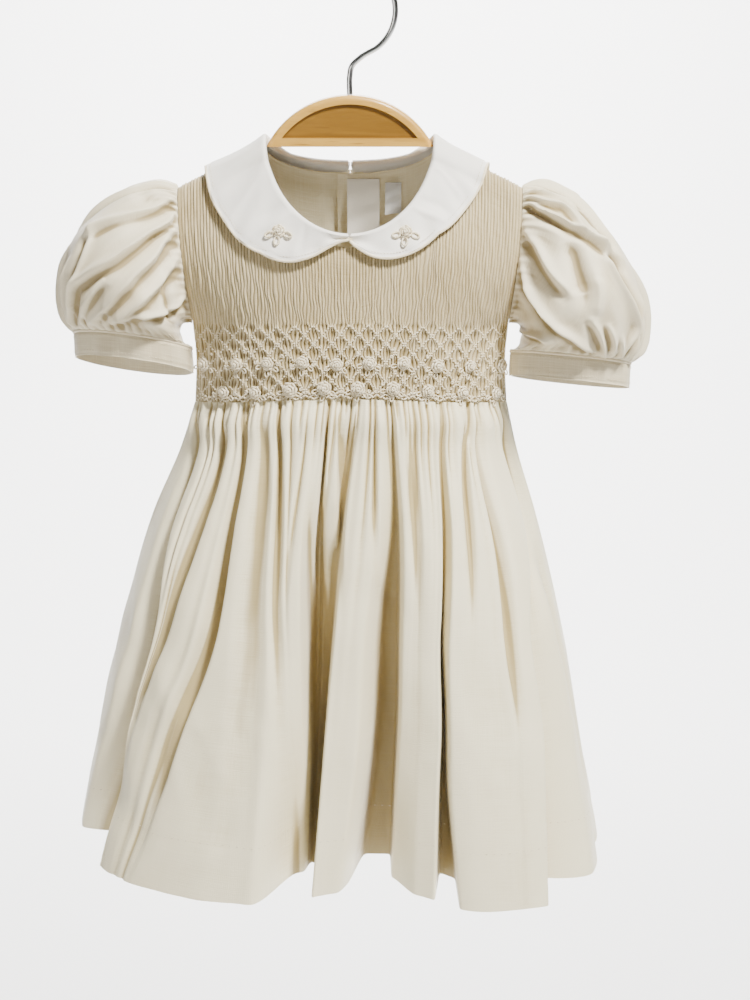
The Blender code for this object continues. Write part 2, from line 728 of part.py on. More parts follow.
def build_skirt(name, front, finish):
    valleys = valleys_of("front" if front else "back")
    outer, inner = [], []
    for down in SKIRT_DOWNS:
        arounds = [2.0 * place if front else 4.0 - 2.0 * place for place in skirt_places(valleys, down)]
        seams = [skirt_seam(around, down, front) for around in (arounds[0], arounds[-1])]
        row = [seams[0][0], *(skirt_point(around, down) for around in arounds[1:-1]), seams[1][0]]
        outer.append(row)
        corners = [inside_corner(*three, front) for three in zip(row, row[1:], row[2:])]
        inner.append([seams[0][1], *corners, seams[1][1]])
    return add_object(name, wall(name, outer, inner), finish, 60.0)


# ---- sleeves


def armhole_point(angle, side):
    """The armhole's edge. angle is 0 at the shoulder, a quarter turn at the front and a half at the underarm."""
    middle, half = (SHOULDER_Z + UNDERARM_Z) / 2, (SHOULDER_Z - UNDERARM_Z) / 2
    z = middle + half * math.cos(angle)
    x = body_size("cut", z)
    front = math.sin(angle) >= 0
    depth = body_depth(x, z, "front" if front else "back")
    return Vector((side * (x + ARMHOLE_GAP), -depth if front else depth, z))


def cuff_point(angle, row):
    """The cuff's outer face at its seam. angle 0 is its outer end, a quarter turn its front."""
    across, fore = math.cos(angle), math.sin(angle)
    x = row.side * (row.x + row.half * across)
    return Vector((x, row.y - row.deep * fore, row.z + row.outer * (across + 1) / 2 + row.lift * fore / 2))


def sleeve_point(angle, along, row):
    """The puff: it leaves the armhole and meets the cuff with a swell."""
    start = armhole_point(angle, row.side)
    end = cuff_point(angle, row) + Vector((0.0, 0.0, PIPING_RADIUS + SEAM))
    outwards, level = (1 + math.cos(angle)) / 2, math.sin(angle)
    depth = level * (row.fore if level >= 0 else row.aft)
    leave = Vector((row.side * mix(UNDERARM_SWELL, row.out, outwards), -depth, row.up * outwards))
    tucked, dropped = mix(UNDERARM_SWELL, row.tuck, outwards), mix(UNDERARM_DROP, row.drop, outwards)
    meet = Vector((-row.side * tucked, depth, -dropped))
    t = along
    from_start = start * (2 * t**3 - 3 * t**2 + 1) + leave * (t**3 - 2 * t**2 + t)
    return from_start + end * (3 * t**2 - 2 * t**3) + meet * (t**3 - t**2)


def gather_rise(angle, along):
    """Ridges that spread from the armhole and from the cuff, and die away towards the underarm."""
    top = 0.35 + 0.65 * (1 + math.cos(angle)) / 2
    near = math.exp(-((along / 0.30) ** 2)) + math.exp(-(((1 - along) / 0.28) ** 2))
    ends = min(1.0, along / 0.06, (1 - along) / 0.06)
    return GATHER_RISE * top * (0.25 + 0.75 * near) * ends * math.cos(GATHERS * angle)


def sleeve_normal(angle, along, row):
    step = 0.01
    low, high = max(0.0, along - step), min(1.0, along + step)
    down = sleeve_point(angle, high, row) - sleeve_point(angle, low, row)
    turn = sleeve_point(angle + step, along, row) - sleeve_point(angle - step, along, row)
    normal = turn.cross(down) * -row.side
    if along > 1.0 - step:
        normal.z = 0.0
    return normal.normalized()


def build_sleeve(name, row, finish):
    outer, inner = [], []
    count = 2 * GATHERS
    for along in SLEEVE_STEPS:
        outer_row, inner_row = [], []
        for c in range(count):
            angle = 2 * math.pi * c / count
            normal = sleeve_normal(angle, along, row)
            place = sleeve_point(angle, along, row) + normal * gather_rise(angle, along)
            outer_row.append(place)
            inner_row.append(place - WALL * normal)
        outer.append(outer_row)
        inner.append(inner_row)
    return add_object(name, wall(name, outer, inner, ring=True), finish, 60.0)


def cuff_ring(row, inset, height):
    """Points round the cuff, inset from its outer face and moved along its own upward direction."""
    made = []
    for c in range(CUFF_PARTS):
        angle = 2 * math.pi * c / CUFF_PARTS
        place = cuff_point(angle, row)
        centre = (cuff_point(0.0, row) + cuff_point(math.pi, row)) / 2
        ahead = cuff_point(angle + 0.01, row) - cuff_point(angle - 0.01, row)
        inwards = Vector((ahead.y, -ahead.x, 0.0)).normalized()
        if inwards.dot(centre - place) < 0:
            inwards = -inwards
        made.append(place + inset * inwards + Vector((0.0, 0.0, height)))
    return made


def build_cuff(name, row, finish, piping_finish):
    top, low = -PIPING_RADIUS - SEAM, -PIPING_RADIUS - SEAM - CUFF_HEIGHT
    outer = [cuff_ring(row, 0.0, top), cuff_ring(row, 0.0, low)]
    inner = [cuff_ring(row, CUFF_WALL, top), cuff_ring(row, CUFF_WALL, low)]
    add_object(name, wall(name, outer, inner, ring=True), finish)
    line = cuff_ring(row, PIPING_RADIUS / 2, 0.0)
    ring_tube(f"{name}_piping", line, PIPING_RADIUS, PIPING_SIDES, piping_finish, closed=True)


# ---- collar


def collar_width(part):
    """The half-collar's width, from the front's middle (0) over the shoulder to the back's middle (1)."""
    if part <= FRONT_SHARE:
        ahead = 1.0 - part / FRONT_SHARE
        start, length = COLLAR_ROUNDING
        share = (1.0 - ahead**COLLAR_POWER) * (1.0 - smooth((ahead - start) / length))
        return mix(COLLAR_MIDDLE, COLLAR_WIDTH, share)
    behind = (part - FRONT_SHARE) / (1.0 - FRONT_SHARE)
    return mix(COLLAR_MIDDLE, COLLAR_WIDTH, math.sqrt(1.0 - behind**3))


def collar_flat(part, across):
    """A point of the half-collar on the laid-out body: x, and the path down from the shoulder line,
    which is negative in front."""
    width = collar_width(part)
    if part <= FRONT_SHARE:
        angle = math.pi / 2 * (1.0 - part / FRONT_SHARE)
        drop = -FRONT_NECK_DROP
    else:
        angle = math.pi / 2 * (part - FRONT_SHARE) / (1.0 - FRONT_SHARE)
        drop = BACK_NECK_DROP
    x, path = NECK_HALF * math.cos(angle), drop * math.sin(angle)
    outwards = math.copysign(math.sin(angle), drop)
    return x + math.cos(angle) * width * across, path + outwards * width * across


def over_shoulder(x, path):
    """The body's surface where a path down from the shoulder line ends, and its normal."""
    column = "front" if path < 0 else "back"
    way = -1.0 if path < 0 else 1.0
    distance = abs(path)
    quarter = ROLL * math.pi / 2
    if distance < quarter:
        angle = distance / ROLL
        slope = Vector((0.0, way * math.sin(angle), math.cos(angle)))
        centre = Vector((x, 0.0, shoulder_line(x) - ROLL))
        return centre + ROLL * slope, slope
    z = shoulder_line(x) - ROLL - (distance - quarter)
    return surface_point(x, z, column, 0.0), surface_normal(x, z, column)


def collar_point(part, across, side, lift):
    x, path = collar_flat(part, across)
    x = max(x, SEAM * 2)
    place, normal = over_shoulder(x, path)
    stand = COLLAR_GAP + COLLAR_ROLL * (1.0 - across) ** 3 + COLLAR_EDGE_LIFT * across**2
    stand += PLEAT_RISE if path < 0 else WALL + SEAM
    place = place + normal * (stand + lift)
    return Vector((side * place.x, place.y, place.z))


def build_collar(name, side, finish, piping_finish):
    outer, inner = [], []
    for part_number in range(COLLAR_PARTS + 1):
        part = part_number / COLLAR_PARTS
        outer.append([collar_point(part, across, side, WALL) for across in COLLAR_ACROSS])
        inner.append([collar_point(part, across, side, 0.0) for across in COLLAR_ACROSS])
    add_object(name, wall(name, outer, inner), finish)
    line = [piping_point(part_number / COLLAR_PARTS, side) for part_number in range(1, COLLAR_PARTS)]
    ring_tube(f"{name}_piping", line, PIPING_RADIUS, PIPING_SIDES, piping_finish, closed=False)


def piping_point(part, side):
    """The middle of the cord that lies along the collar's edge."""
    step = 0.5 / COLLAR_PARTS
    edge = collar_point(part, 1.0, side, WALL / 2)
    along = collar_point(part + step, 1.0, side, 0.0) - collar_point(part - step, 1.0, side, 0.0)
    across = edge - collar_point(part, 0.85, side, WALL / 2)
    away = across - along * (across.dot(along) / along.length_squared)
    return edge + away.normalized() * (PIPING_RADIUS + 2 * SEAM)


# ---- hanger


def arch_z(x, radius=ARCH_RADIUS):
    return ARCH_TOP_Z - ARCH_RADIUS + math.sqrt(radius**2 - x**2)


def board_outline():
    """The board's outline on its +X half, from the top's middle round to the bar's middle."""
    arch = [(x, arch_z(x)) for x in (0.0, 0.012, 0.024, 0.034, 0.042, 0.048, ARCH_END_X)]
    arm_top = [(0.0515, -0.1100), (0.0560, -0.1125), (0.0640, -0.1142), (0.0800, -0.1220), (0.0940, -0.1290)]
    tip = [(0.0985, -0.1325), (0.0995, -0.1365), (0.0960, -0.1400)]
    arm_low = [(0.0800, -0.1350), (0.0640, -0.1280), (0.0530, -0.1215), (0.0340, BAR_LOW_Z), (0.0, BAR_LOW_Z)]
    return arch + arm_top + tip + arm_low


def build_board(finish):
    half = board_outline()
    outline = half + [(-x, z) for x, z in reversed(half[1:-1])]
    bm = bmesh.new()
    verts = [bm.verts.new((x, -BOARD_HALF, z)) for x, z in outline]
    face = bm.faces.new(verts)
    grown = bmesh.ops.extrude_face_region(bm, geom=[face])
    moved = [v for v in grown["geom"] if isinstance(v, bmesh.types.BMVert)]
    bmesh.ops.translate(bm, verts=moved, vec=(0.0, 2 * BOARD_HALF, 0.0))
    rims = [e for e in bm.edges if abs(e.verts[0].co.y - e.verts[1].co.y) < STEP]
    bmesh.ops.bevel(bm, geom=rims, offset=BOARD_BEVEL, segments=2, profile=0.5, affect="EDGES")
    bmesh.ops.recalc_face_normals(bm, faces=bm.faces)
    mesh = bpy.data.meshes.new("hanger_board")
    bm.to_mesh(mesh)
    bm.free()
    board = add_object("hanger_board", mesh, finish)
    for way in (-1, 1):
        cut = board.modifiers.new(f"panel_{way}", "BOOLEAN")
        cut.operation = "DIFFERENCE"
        cut.object = panel_cutter(way)
    return board


def panel_cutter(way):
    """The sunk panel between the arch and the bar, on the board's front or back face."""
    inner = ARCH_RADIUS - PANEL_RIM
    low = BAR_LOW_Z + PANEL_RIM
    edge = math.sqrt(inner**2 - (low - (ARCH_TOP_Z - ARCH_RADIUS)) ** 2)
    xs = [edge * math.sin(math.pi / 2 * i / 6) for i in range(-6, 7)]
    outline = [(x, arch_z(x, inner)) for x in xs]
    points = []
    for depth in (BOARD_HALF - PANEL_SINK, BOARD_HALF + PANEL_SINK):
        points += [(x, way * depth, z) for x, z in outline]
    count = len(outline)
    faces = [tuple(range(count)), tuple(range(count, 2 * count))]
    faces += [(i, (i + 1) % count, count + (i + 1) % count, count + i) for i in range(count)]
    cutter = bpy.data.objects.new(f"panel_cutter_{way}", mesh_from("panel_cutter", points, faces))
    bpy.context.scene.collection.objects.link(cutter)
    cutter.hide_render = True
    cutter.display_type = "WIRE"
    return cutter


def build_hook(finish):
    """A wire that stands in the board, swings aside and goes over the rail as a round bow."""
    reach = BOW_INNER + WIRE_RADIUS
    centre_z = -BOW_INNER
    line = [(0.0, 0.0, ARCH_TOP_Z + SEAM), (0.0, 0.0, STEM_TOP_Z - 0.006), (0.0012, 0.0, STEM_TOP_Z)]
    line.append((0.0070, 0.0, STEM_TOP_Z + 0.0058))
    for step in range(21):
        angle = math.radians(mix(BOW_START, BOW_END, step / 20))
        line.append((reach * math.cos(angle), 0.0, centre_z + reach * math.sin(angle)))
    return tube("hanger_hook", line, WIRE_RADIUS, 8, False, finish)


def build_dress():
    ivory = material("ivory_cotton", (0.86, 0.81, 0.71), 0.72)
    smock = material("smocked_cotton", (0.83, 0.77, 0.66), 0.78)
    collar = material("collar_cotton", (0.90, 0.87, 0.80), 0.68)
    piping = material("piping_cord", (0.90, 0.86, 0.76), 0.60)
    pearl = material("pearl_button", (0.92, 0.89, 0.82), 0.30)
    wood = material("pale_wood", (0.66, 0.47, 0.22), 0.45)
    chrome = material("bright_wire", (0.75, 0.75, 0.76), 0.12, 1.0)
    build_smocked_front(smock)
    build_back("back_left", -1, ivory)
    build_back("back_right", 1, ivory)
    build_buttons(pearl)
    build_label("neck_label", LABEL_X, LABEL_Z, collar)
    build_label("size_tab", TAB_X, TAB_Z, collar)
    build_skirt("front_skirt", True, ivory)
    build_skirt("back_skirt", False, ivory)
    for row in (Sleeve(*values) for values in SLEEVE_ROWS):
        hand = "left" if row.side < 0 else "right"
        build_sleeve(f"sleeve_{hand}", row, ivory)
        build_cuff(f"cuff_{hand}", row, ivory, piping)
    build_collar("collar_left", -1, collar, piping)
    build_collar("collar_right", 1, collar, piping)
    build_board(wood)
    build_hook(chrome)


clear_scene()
build_dress()
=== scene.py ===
"""Smocked toddler dress on a small wooden hanger, dressed around its fixed frame.

Lengths are in metres. +Z is up and the front faces -Y. Left and right are as seen from the front.
"""

import math

import bmesh
import bpy
import numpy as np
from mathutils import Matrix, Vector


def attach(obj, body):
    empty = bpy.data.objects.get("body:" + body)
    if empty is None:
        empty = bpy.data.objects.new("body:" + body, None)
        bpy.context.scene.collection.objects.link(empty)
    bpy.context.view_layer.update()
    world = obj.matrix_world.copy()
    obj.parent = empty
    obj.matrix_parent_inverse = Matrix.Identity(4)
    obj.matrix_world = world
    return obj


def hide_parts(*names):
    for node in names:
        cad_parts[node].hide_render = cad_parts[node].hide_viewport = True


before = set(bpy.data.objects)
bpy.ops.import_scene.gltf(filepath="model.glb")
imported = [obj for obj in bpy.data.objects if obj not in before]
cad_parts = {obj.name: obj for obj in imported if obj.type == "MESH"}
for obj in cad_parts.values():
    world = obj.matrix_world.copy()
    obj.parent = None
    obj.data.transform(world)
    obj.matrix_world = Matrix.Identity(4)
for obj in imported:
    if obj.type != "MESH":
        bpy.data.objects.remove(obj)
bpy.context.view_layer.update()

# ---- camera
CAMERA_PLACE = (0.0152, -1.22, 0.0650)
CAMERA_DOWN = math.radians(18.0)
CAMERA_LENS, CAMERA_SENSOR = 72.0, 36.0


def add_camera():
    data = bpy.data.cameras.new("camera")
    data.lens, data.sensor_width = CAMERA_LENS, CAMERA_SENSOR
    camera = bpy.data.objects.new("camera", data)
    camera.location = CAMERA_PLACE
    camera.rotation_euler = (math.pi / 2 - CAMERA_DOWN, 0.0, 0.0)
    bpy.context.scene.collection.objects.link(camera)
    bpy.context.scene.camera = camera


add_camera()

# ---- sizes of the dress
CLOTH = 0.0008
SEAM = 0.0003
SHOULDER_HALF = 0.105
NECK_HALF = SHOULDER_HALF / 2
NECK_Z = -0.105
SHOULDER_Z = -0.131
UNDERARM_Z = -0.215
SIDE_BAND_Z = -0.217
BAND_RISE = 0.010
SIDE_WAIST_Z = -0.266
WAIST_RISE = {"front": 0.014, "back": 0.006}
HEM_Z = -0.555
FRONT_NECK_DROP = 0.056
BACK_NECK_DROP = 0.019
ROLL = 0.0085
SETTLE = 0.060
SOFTENING = 0.0045  # how far up and down the bend below the hanger's arm is evened out
LENS_POWER = 2.6
CORNER_X = 0.044


def table(columns, rows, per=1.0):
    """A short table as one array for each named column. per is how many of its units make one."""
    return {name: np.array(values, float) / per for name, values in zip(columns.split(), zip(*rows))}


# The dress's half-widths and depths at some heights, in millimetres.
BODY = table(
    "z side cut front back",
    (
        (-268, 98.5, 98.5, 46, 35),
        (-235, 97, 97, 44, 33),
        (-215, 98.5, 98.5, 42, 31),
        (-206, 105, 99.2, 41, 30),
        (-190, 114, 101, 40, 29),
        (-160, 126, 104, 36, 25),
        (-131, 132, 105, 29, 19),
        (-105, 132, 105, 22, 14),
    ),
    1000,
)
SKIRT = table(
    "down left right front back square_left square_right turn round aft",
    (
        (0.00, 0.0985, 0.0985, 0.0462, 0.0352, 2.2, 2.2, 0.0, 0.0, 0.000),
        (0.10, 0.1080, 0.1050, 0.0560, 0.0430, 2.2, 2.3, 0.3, 0.3, 0.001),
        (0.25, 0.1270, 0.1180, 0.0700, 0.0550, 2.3, 2.6, 0.8, 0.7, 0.003),
        (0.55, 0.1530, 0.1390, 0.0940, 0.0740, 2.5, 3.2, 1.8, 1.0, 0.009),
        (0.80, 0.1705, 0.1520, 0.1130, 0.0860, 2.6, 4.0, 2.6, 1.0, 0.014),
        (1.00, 0.1820, 0.1630, 0.1280, 0.0940, 2.7, 4.5, 3.0, 1.0, 0.018),
    ),
)
# One row for each trough between two folds, all in thousandths: where its left and its right edge lie
# at the five heights of TROUGH_DOWNS, from 0 at the left seam to 1 at the right one, its depth at the
# last four of them, and how soft its two edges are. 1 marks a main fold, which the mesh's columns keep to.
TROUGH_DOWNS = (0.0, 0.2, 0.45, 0.7, 1.0)
FRONT_TROUGHS = (
    ((12, 85, 158, 160, 105), (24, 117, 203, 208, 202), (9, 15, 22, 30), (18, 3), 1),
    ((62, 150, 206, 207, 205), (70, 157, 212, 211, 209), (5, 1, 0, 0), (3, 2), 0),
    ((92, 183, 220, 214, 210), (128, 219, 243, 222, 216), (8, 6, 2, 0), (10, 2), 1),
    ((165, 262, 301, 276, 250), (193, 281, 321, 298, 262), (12, 16, 7, 0), (12, 2), 1),
    ((225, 312, 352, 364, 360), (246, 344, 386, 398, 395), (6, 4, 2, 1), (12, 10), 0),
    ((276, 357, 396, 419, 425), (292, 371, 409, 431, 440), (8, 5, 1, 0), (4, 6), 1),
    ((372, 397, 410, 420, 430), (380, 403, 416, 426, 436), (4, 0, 0, 0), (3, 2), 0),
    ((400, 405, 418, 424, 424), (530, 495, 481, 473, 465), (0, 4, 16, 40), (22, 3), 0),
    ((404, 421, 439, 452, 455), (530, 495, 481, 473, 466), (4, 34, 32, 9), (3, 3), 1),
    ((428, 441, 446, 458, 458), (438, 450, 466, 462, 462), (9, 2, 0, 0), (2, 3), 0),
    ((462, 479, 484, 470, 466), (522, 495, 490, 474, 470), (9, 0, 0, 0), (3, 2), 0),
    ((570, 546, 540, 530, 520), (578, 556, 546, 536, 526), (4, 0, 0, 0), (3, 3), 0),
    ((603, 578, 543, 531, 508), (634, 603, 580, 569, 556), (11, 28, 34, 30), (16, 3), 1),
    ((610, 590, 560, 540, 515), (640, 610, 590, 580, 572), (0, 0, 6, 22), (10, 20), 0),
    ((676, 622, 600, 598, 596), (704, 640, 610, 604, 602), (5, 0, 0, 0), (6, 6), 0),
    ((772, 690, 640, 626, 613), (790, 704, 647, 633, 635), (11, 20, 28, 38), (4, 2), 1),
    ((858, 741, 677, 660, 650), (880, 758, 684, 668, 656), (8, 1, 0, 0), (6, 3), 0),
    ((892, 798, 733, 716, 700), (903, 818, 749, 722, 706), (10, 8, 0, 0), (3, 6), 1),
    ((956, 922, 790, 757, 731), (976, 958, 850, 826, 800), (11, 18, 27, 36), (3, 36), 1),
    ((978, 972, 900, 895, 890), (986, 984, 925, 920, 920), (3, 4, 4, 4), (16, 16), 0),
)
# One row for each valley of the back, all in thousandths: its middle at three heights, its depths
# down the skirt, its half-widths, and how soft its two edges are.
BACK_VALLEYS = table(
    "waist middle hem upper centre lower half_middle half_hem soft_left soft_right",
    (
        (60, 85, 90, 8, 14, 20, 16, 20, 12, 6),
        (120, 150, 158, 6, 5, 3, 13, 18, 10, 10),
        (180, 218, 228, 10, 24, 38, 16, 20, 3, 6),
        (245, 280, 288, 6, 6, 4, 13, 18, 10, 8),
        (310, 345, 352, 9, 18, 22, 14, 18, 14, 3),
        (375, 400, 408, 6, 5, 4, 12, 18, 8, 10),
        (440, 460, 466, 11, 27, 44, 17, 20, 3, 10),
        (505, 520, 524, 6, 5, 4, 12, 18, 10, 10),
        (570, 577, 580, 9, 14, 16, 14, 18, 12, 5),
        (635, 636, 637, 7, 8, 6, 13, 18, 6, 10),
        (700, 695, 696, 10, 20, 36, 20, 22, 5, 3),
        (765, 752, 752, 6, 6, 4, 13, 18, 10, 10),
        (830, 812, 810, 9, 16, 24, 14, 18, 3, 12),
        (890, 868, 866, 6, 5, 4, 13, 18, 10, 8),
        (945, 926, 922, 8, 12, 16, 16, 20, 6, 12),
    ),
    1000,
)
# The front also hangs back between its two widest panels, from nothing at the waist to this at the hem.
HOLLOW_PLACE = 0.540
HOLLOW_HALF = 0.085
HOLLOW_DEPTH = 0.022
WAIST_DEPTH = 0.0015

# The small gathers at the skirt's seam: how many, how deep, and the least and most they reach down.
SKIRT_GATHERS = {"front": (58, 0.0036, 0.030, 0.12), "back": (48, 0.0032, 0.030, 0.12)}
GATHER_LENGTHS = (0.6, 1.0, 1.8, 5.0, 12.0)
GATHER_DEPTHS, GATHER_WIDTHS, GATHER_STRAY = (0.4, 1.3), (0.22, 0.38), 0.26

# ---- sizes of the sleeves
SLEEVE_GATHERS = 12
GATHER_RISE = 0.00108
PIPING_RADIUS = 0.0009
UNDERARM_SWELL = 0.026
UNDERARM_DROP = 0.014
SLEEVES = table(
    "side x y z half deep outer lift out up tuck drop fore aft",
    (
        (-1, 0.1362, 0.001, -0.2320, 0.0370, 0.0216, 0.010, 0.019, 0.083, 0.066, 0.088, 0.158, 0.085, 0.078),
        (1, 0.1370, -0.008, -0.2315, 0.0378, 0.0188, -0.008, 0.012, 0.092, 0.052, 0.106, 0.115, 0.088, 0.082),
    ),
)

# ---- sizes of the collar
# The half-collars' widths in millimetres, from the front's middle (0) over the shoulder to the back's
# middle (1000).
COLLARS = table(
    "part left right",
    (
        (0, 1.4, 1.8),
        (40, 2.6, 6.4),
        (85, 7.0, 11.4),
        (135, 14.6, 15.2),
        (190, 22.2, 18.0),
        (255, 27.5, 20.0),
        (340, 29.0, 21.2),
        (430, 29.6, 22.6),
        (520, 32.2, 26.2),
        (620, 35.2, 31.8),
        (720, 35.5, 34.0),
        (820, 35.0, 34.5),
        (900, 31.8, 31.8),
        (955, 25.0, 25.0),
        (985, 14.0, 14.0),
        (1000, 1.4, 1.4),
    ),
    1000,
)
COLLAR_GAP = 0.0010
COLLAR_ROLL = 0.0030
COLLAR_EDGE_LIFT = 0.0016
COLLAR_THICK = 0.0012
# Soft creases: rise, where round the half-collar, lean, and half-width.
COLLAR_CREASES = (
    (0.0011, 0.310, 0.050, 0.011),
    (-0.0009, 0.350, 0.045, 0.016),
    (0.0008, 0.450, -0.040, 0.013),
    (0.0010, 0.575, 0.030, 0.014),
    (-0.0008, 0.190, -0.030, 0.012),
    (0.0008, 0.760, 0.035, 0.014),
)
FRONT_SHARE = 0.60
PLEAT_RISE = 0.0011

# ---- sizes of the smocking
PLEATS = 108
DIAMONDS = 18
BAND_STEPS = 8

# ---- sizes of the back opening, the label and the tab
WALL = 0.0012
LAP_HALF = 0.008
LAP_BLEND = 0.009
BUTTON_ZS = (-0.165, -0.204, -0.243)
LABEL_X = (-0.002, 0.018)
LABEL_Z = (-0.1265, -0.164)
TAB_X = (0.0215, 0.0315)
TAB_Z = (-0.1290, -0.149)
LABEL_CURL, TAB_CURL = 0.0032, 0.0024
LABEL_GAP = 0.0008
TAPE_THICK = 0.0005

# ---- sizes of the hanger
BOARD_HALF = 0.0050
BOARD_BEVEL = 0.0028
ARCH_RADIUS = 0.057
ARCH_TOP_Z = -0.075
BAR_LOW_Z = -0.1055
PANEL_RIM = 0.0052
PANEL_SINK = 0.0014
PANEL_BLUR = 0.0003
WIRE_RADIUS = 0.0018
BOW_REACH = 0.0273
BOW_CENTRE_Z = -0.0255
BOW_START, BOW_END = -48.0, 166.0
STEM_PLACES = ((0.0, -0.0747), (0.0, -0.0645), (0.0012, -0.0585), (0.0070, -0.0527))


# ---- reading tables and building walls


def mix(a, b, share):
    return a + (b - a) * share


def smooth(share):
    share = np.clip(share, 0.0, 1.0)
    return share * share * (3.0 - 2.0 * share)


def through(places, values, at):
    """A smooth curve through values at rising places, read at at."""
    places, values = np.asarray(places, float), np.asarray(values, float)
    at = np.clip(at, places[0], places[-1])
    slopes = np.gradient(values, places)
    i = np.clip(np.searchsorted(places, at, side="right") - 1, 0, len(places) - 2)
    gap = places[i + 1] - places[i]
    t = (at - places[i]) / gap
    near = values[i] * (2 * t**3 - 3 * t**2 + 1) + slopes[i] * gap * (t**3 - 2 * t**2 + t)
    return near + values[i + 1] * (3 * t**2 - 2 * t**3) + slopes[i + 1] * gap * (t**3 - t**2)


def read(rows, name, at):
    """One column of a table, where its first column is at."""
    return through(next(iter(rows.values())), rows[name], at)


def joined(x, y, z):
    return np.stack(np.broadcast_arrays(x, y, z), axis=-1)


def unit(vectors):
    return vectors / np.maximum(np.linalg.norm(vectors, axis=-1, keepdims=True), 1e-12)


def grid_normals(grid, outwards, ring=False):
    """Unit normals of a grid. outwards points out of it, and None means away from a ring's middle."""
    if ring:
        wide = np.concatenate((grid[:, -1:], grid, grid[:, :1]), axis=1)
        across = wide[:, 2:] - wide[:, :-2]
    else:
        across = np.gradient(grid, axis=1)
    normals = unit(np.cross(across, np.gradient(grid, axis=0)))
    if outwards is None:
        outwards = grid - grid.mean(axis=1, keepdims=True)
    if np.sum(normals * outwards) < 0:
        normals = -normals
    return normals


def shifted(grid, step, ring):
    """The grid moved by so many columns, going round in a ring and stopping at the ends of a sheet."""
    if ring:
        return np.roll(grid, -step, axis=1)
    return grid[:, np.clip(np.arange(grid.shape[1]) + step, 0, grid.shape[1] - 1)]


# How soon a fold counts as deep, and the steps over which its depth is felt, with their weights. This fold measure
# sets the painted shade in the cloth's folds and the painted highlight on its ridges.
HOLLOW_GAIN = 3.4
HOLLOW_STEPS = ((1, 1.0), (2, 1.0), (4, 1.0), (8, 1.3), (14, 1.7), (24, 2.4))
HOLLOW_TURNED = 0.7
# The painted shade given evenly to the inner faces of the cloth pieces that carry it.
INSIDE_PAINTED_SHADE = 0.3


def hollows(grid, normals, ring=False, both_ways=False):
    """How deep each point lies in its folds, for painted shade and highlight: 0 on open cloth, 1 in a deep trough,
    below 0 on a ridge.
    """
    found = np.zeros(grid.shape[:2])
    for step, weight in HOLLOW_STEPS:
        before, after = shifted(grid, -step, ring), shifted(grid, step, ring)
        inwards = np.sum(((before + after) / 2 - grid) * normals, axis=-1)
        span = np.maximum(np.linalg.norm(after - before, axis=-1), 1e-5)
        found += np.clip(HOLLOW_GAIN * weight * inwards / span, -0.6, 1.0) / 4.0
    if both_ways:
        turned = hollows(grid.transpose(1, 0, 2), normals.transpose(1, 0, 2))
        found = found + HOLLOW_TURNED * turned.T
    return np.clip(found, -1.0, 1.0)


def run_along(line):
    """How far each point of a line lies along it."""
    return np.concatenate(([0.0], np.cumsum(np.linalg.norm(np.diff(line, axis=0), axis=1))))


def lengths_along(grid, axis):
    """How far each point lies along its row or column, measured on the surface."""
    steps = np.linalg.norm(np.diff(grid, axis=axis), axis=-1)
    zero = np.zeros_like(np.take(steps, [0], axis=axis))
    return np.cumsum(np.concatenate((zero, steps), axis=axis), axis=axis)


def cloth_uv(grid, ring=False):
    """The cloth laid flat, in metres: across and down."""
    if ring:
        grid = np.concatenate((grid, grid[:, :1]), axis=1)
    middle = grid.shape[0] // 2
    across = lengths_along(grid[middle : middle + 1], 1)[0]
    down = lengths_along(grid, 0)
    return np.stack((np.broadcast_to(across, grid.shape[:2]), down), axis=-1)


def add_mesh(name, points, faces, finish, uv=None, marks=None, sharp=50.0, tidy=True, hollow=None):
    """A piece from points and faces. marks says which row of uv each face corner takes."""
    mesh = bpy.data.meshes.new(name)
    mesh.from_pydata(np.asarray(points, float).tolist(), [], faces)
    # Each point's painted shading: painted shade where it is above 0, painted highlight where it is below 0.
    if hollow is not None:
        depths = mesh.attributes.new("hollow", "FLOAT", "POINT")
        depths.data.foreach_set("value", np.asarray(hollow, np.float32))
    if uv is not None:
        corners = [i for face in (marks or faces) for i in face]
        layer = mesh.uv_layers.new(name="cloth")
        layer.data.foreach_set("uv", np.asarray(uv, np.float32)[corners].ravel())
    if tidy:
        shape = bmesh.new()
        shape.from_mesh(mesh)
        bmesh.ops.recalc_face_normals(shape, faces=shape.faces)
        if shape.calc_volume(signed=True) < 0:
            bmesh.ops.reverse_faces(shape, faces=shape.faces)
        shape.to_mesh(mesh)
        shape.free()
    mesh.materials.append(finish)
    mesh.shade_smooth()
    mesh.set_sharp_from_angle(angle=math.radians(sharp))
    obj = bpy.data.objects.new(name, mesh)
    bpy.context.scene.collection.objects.link(obj)
    return obj


def kept(count, every):
    found = list(range(0, count, every))
    return found if found[-1] == count - 1 else found + [count - 1]


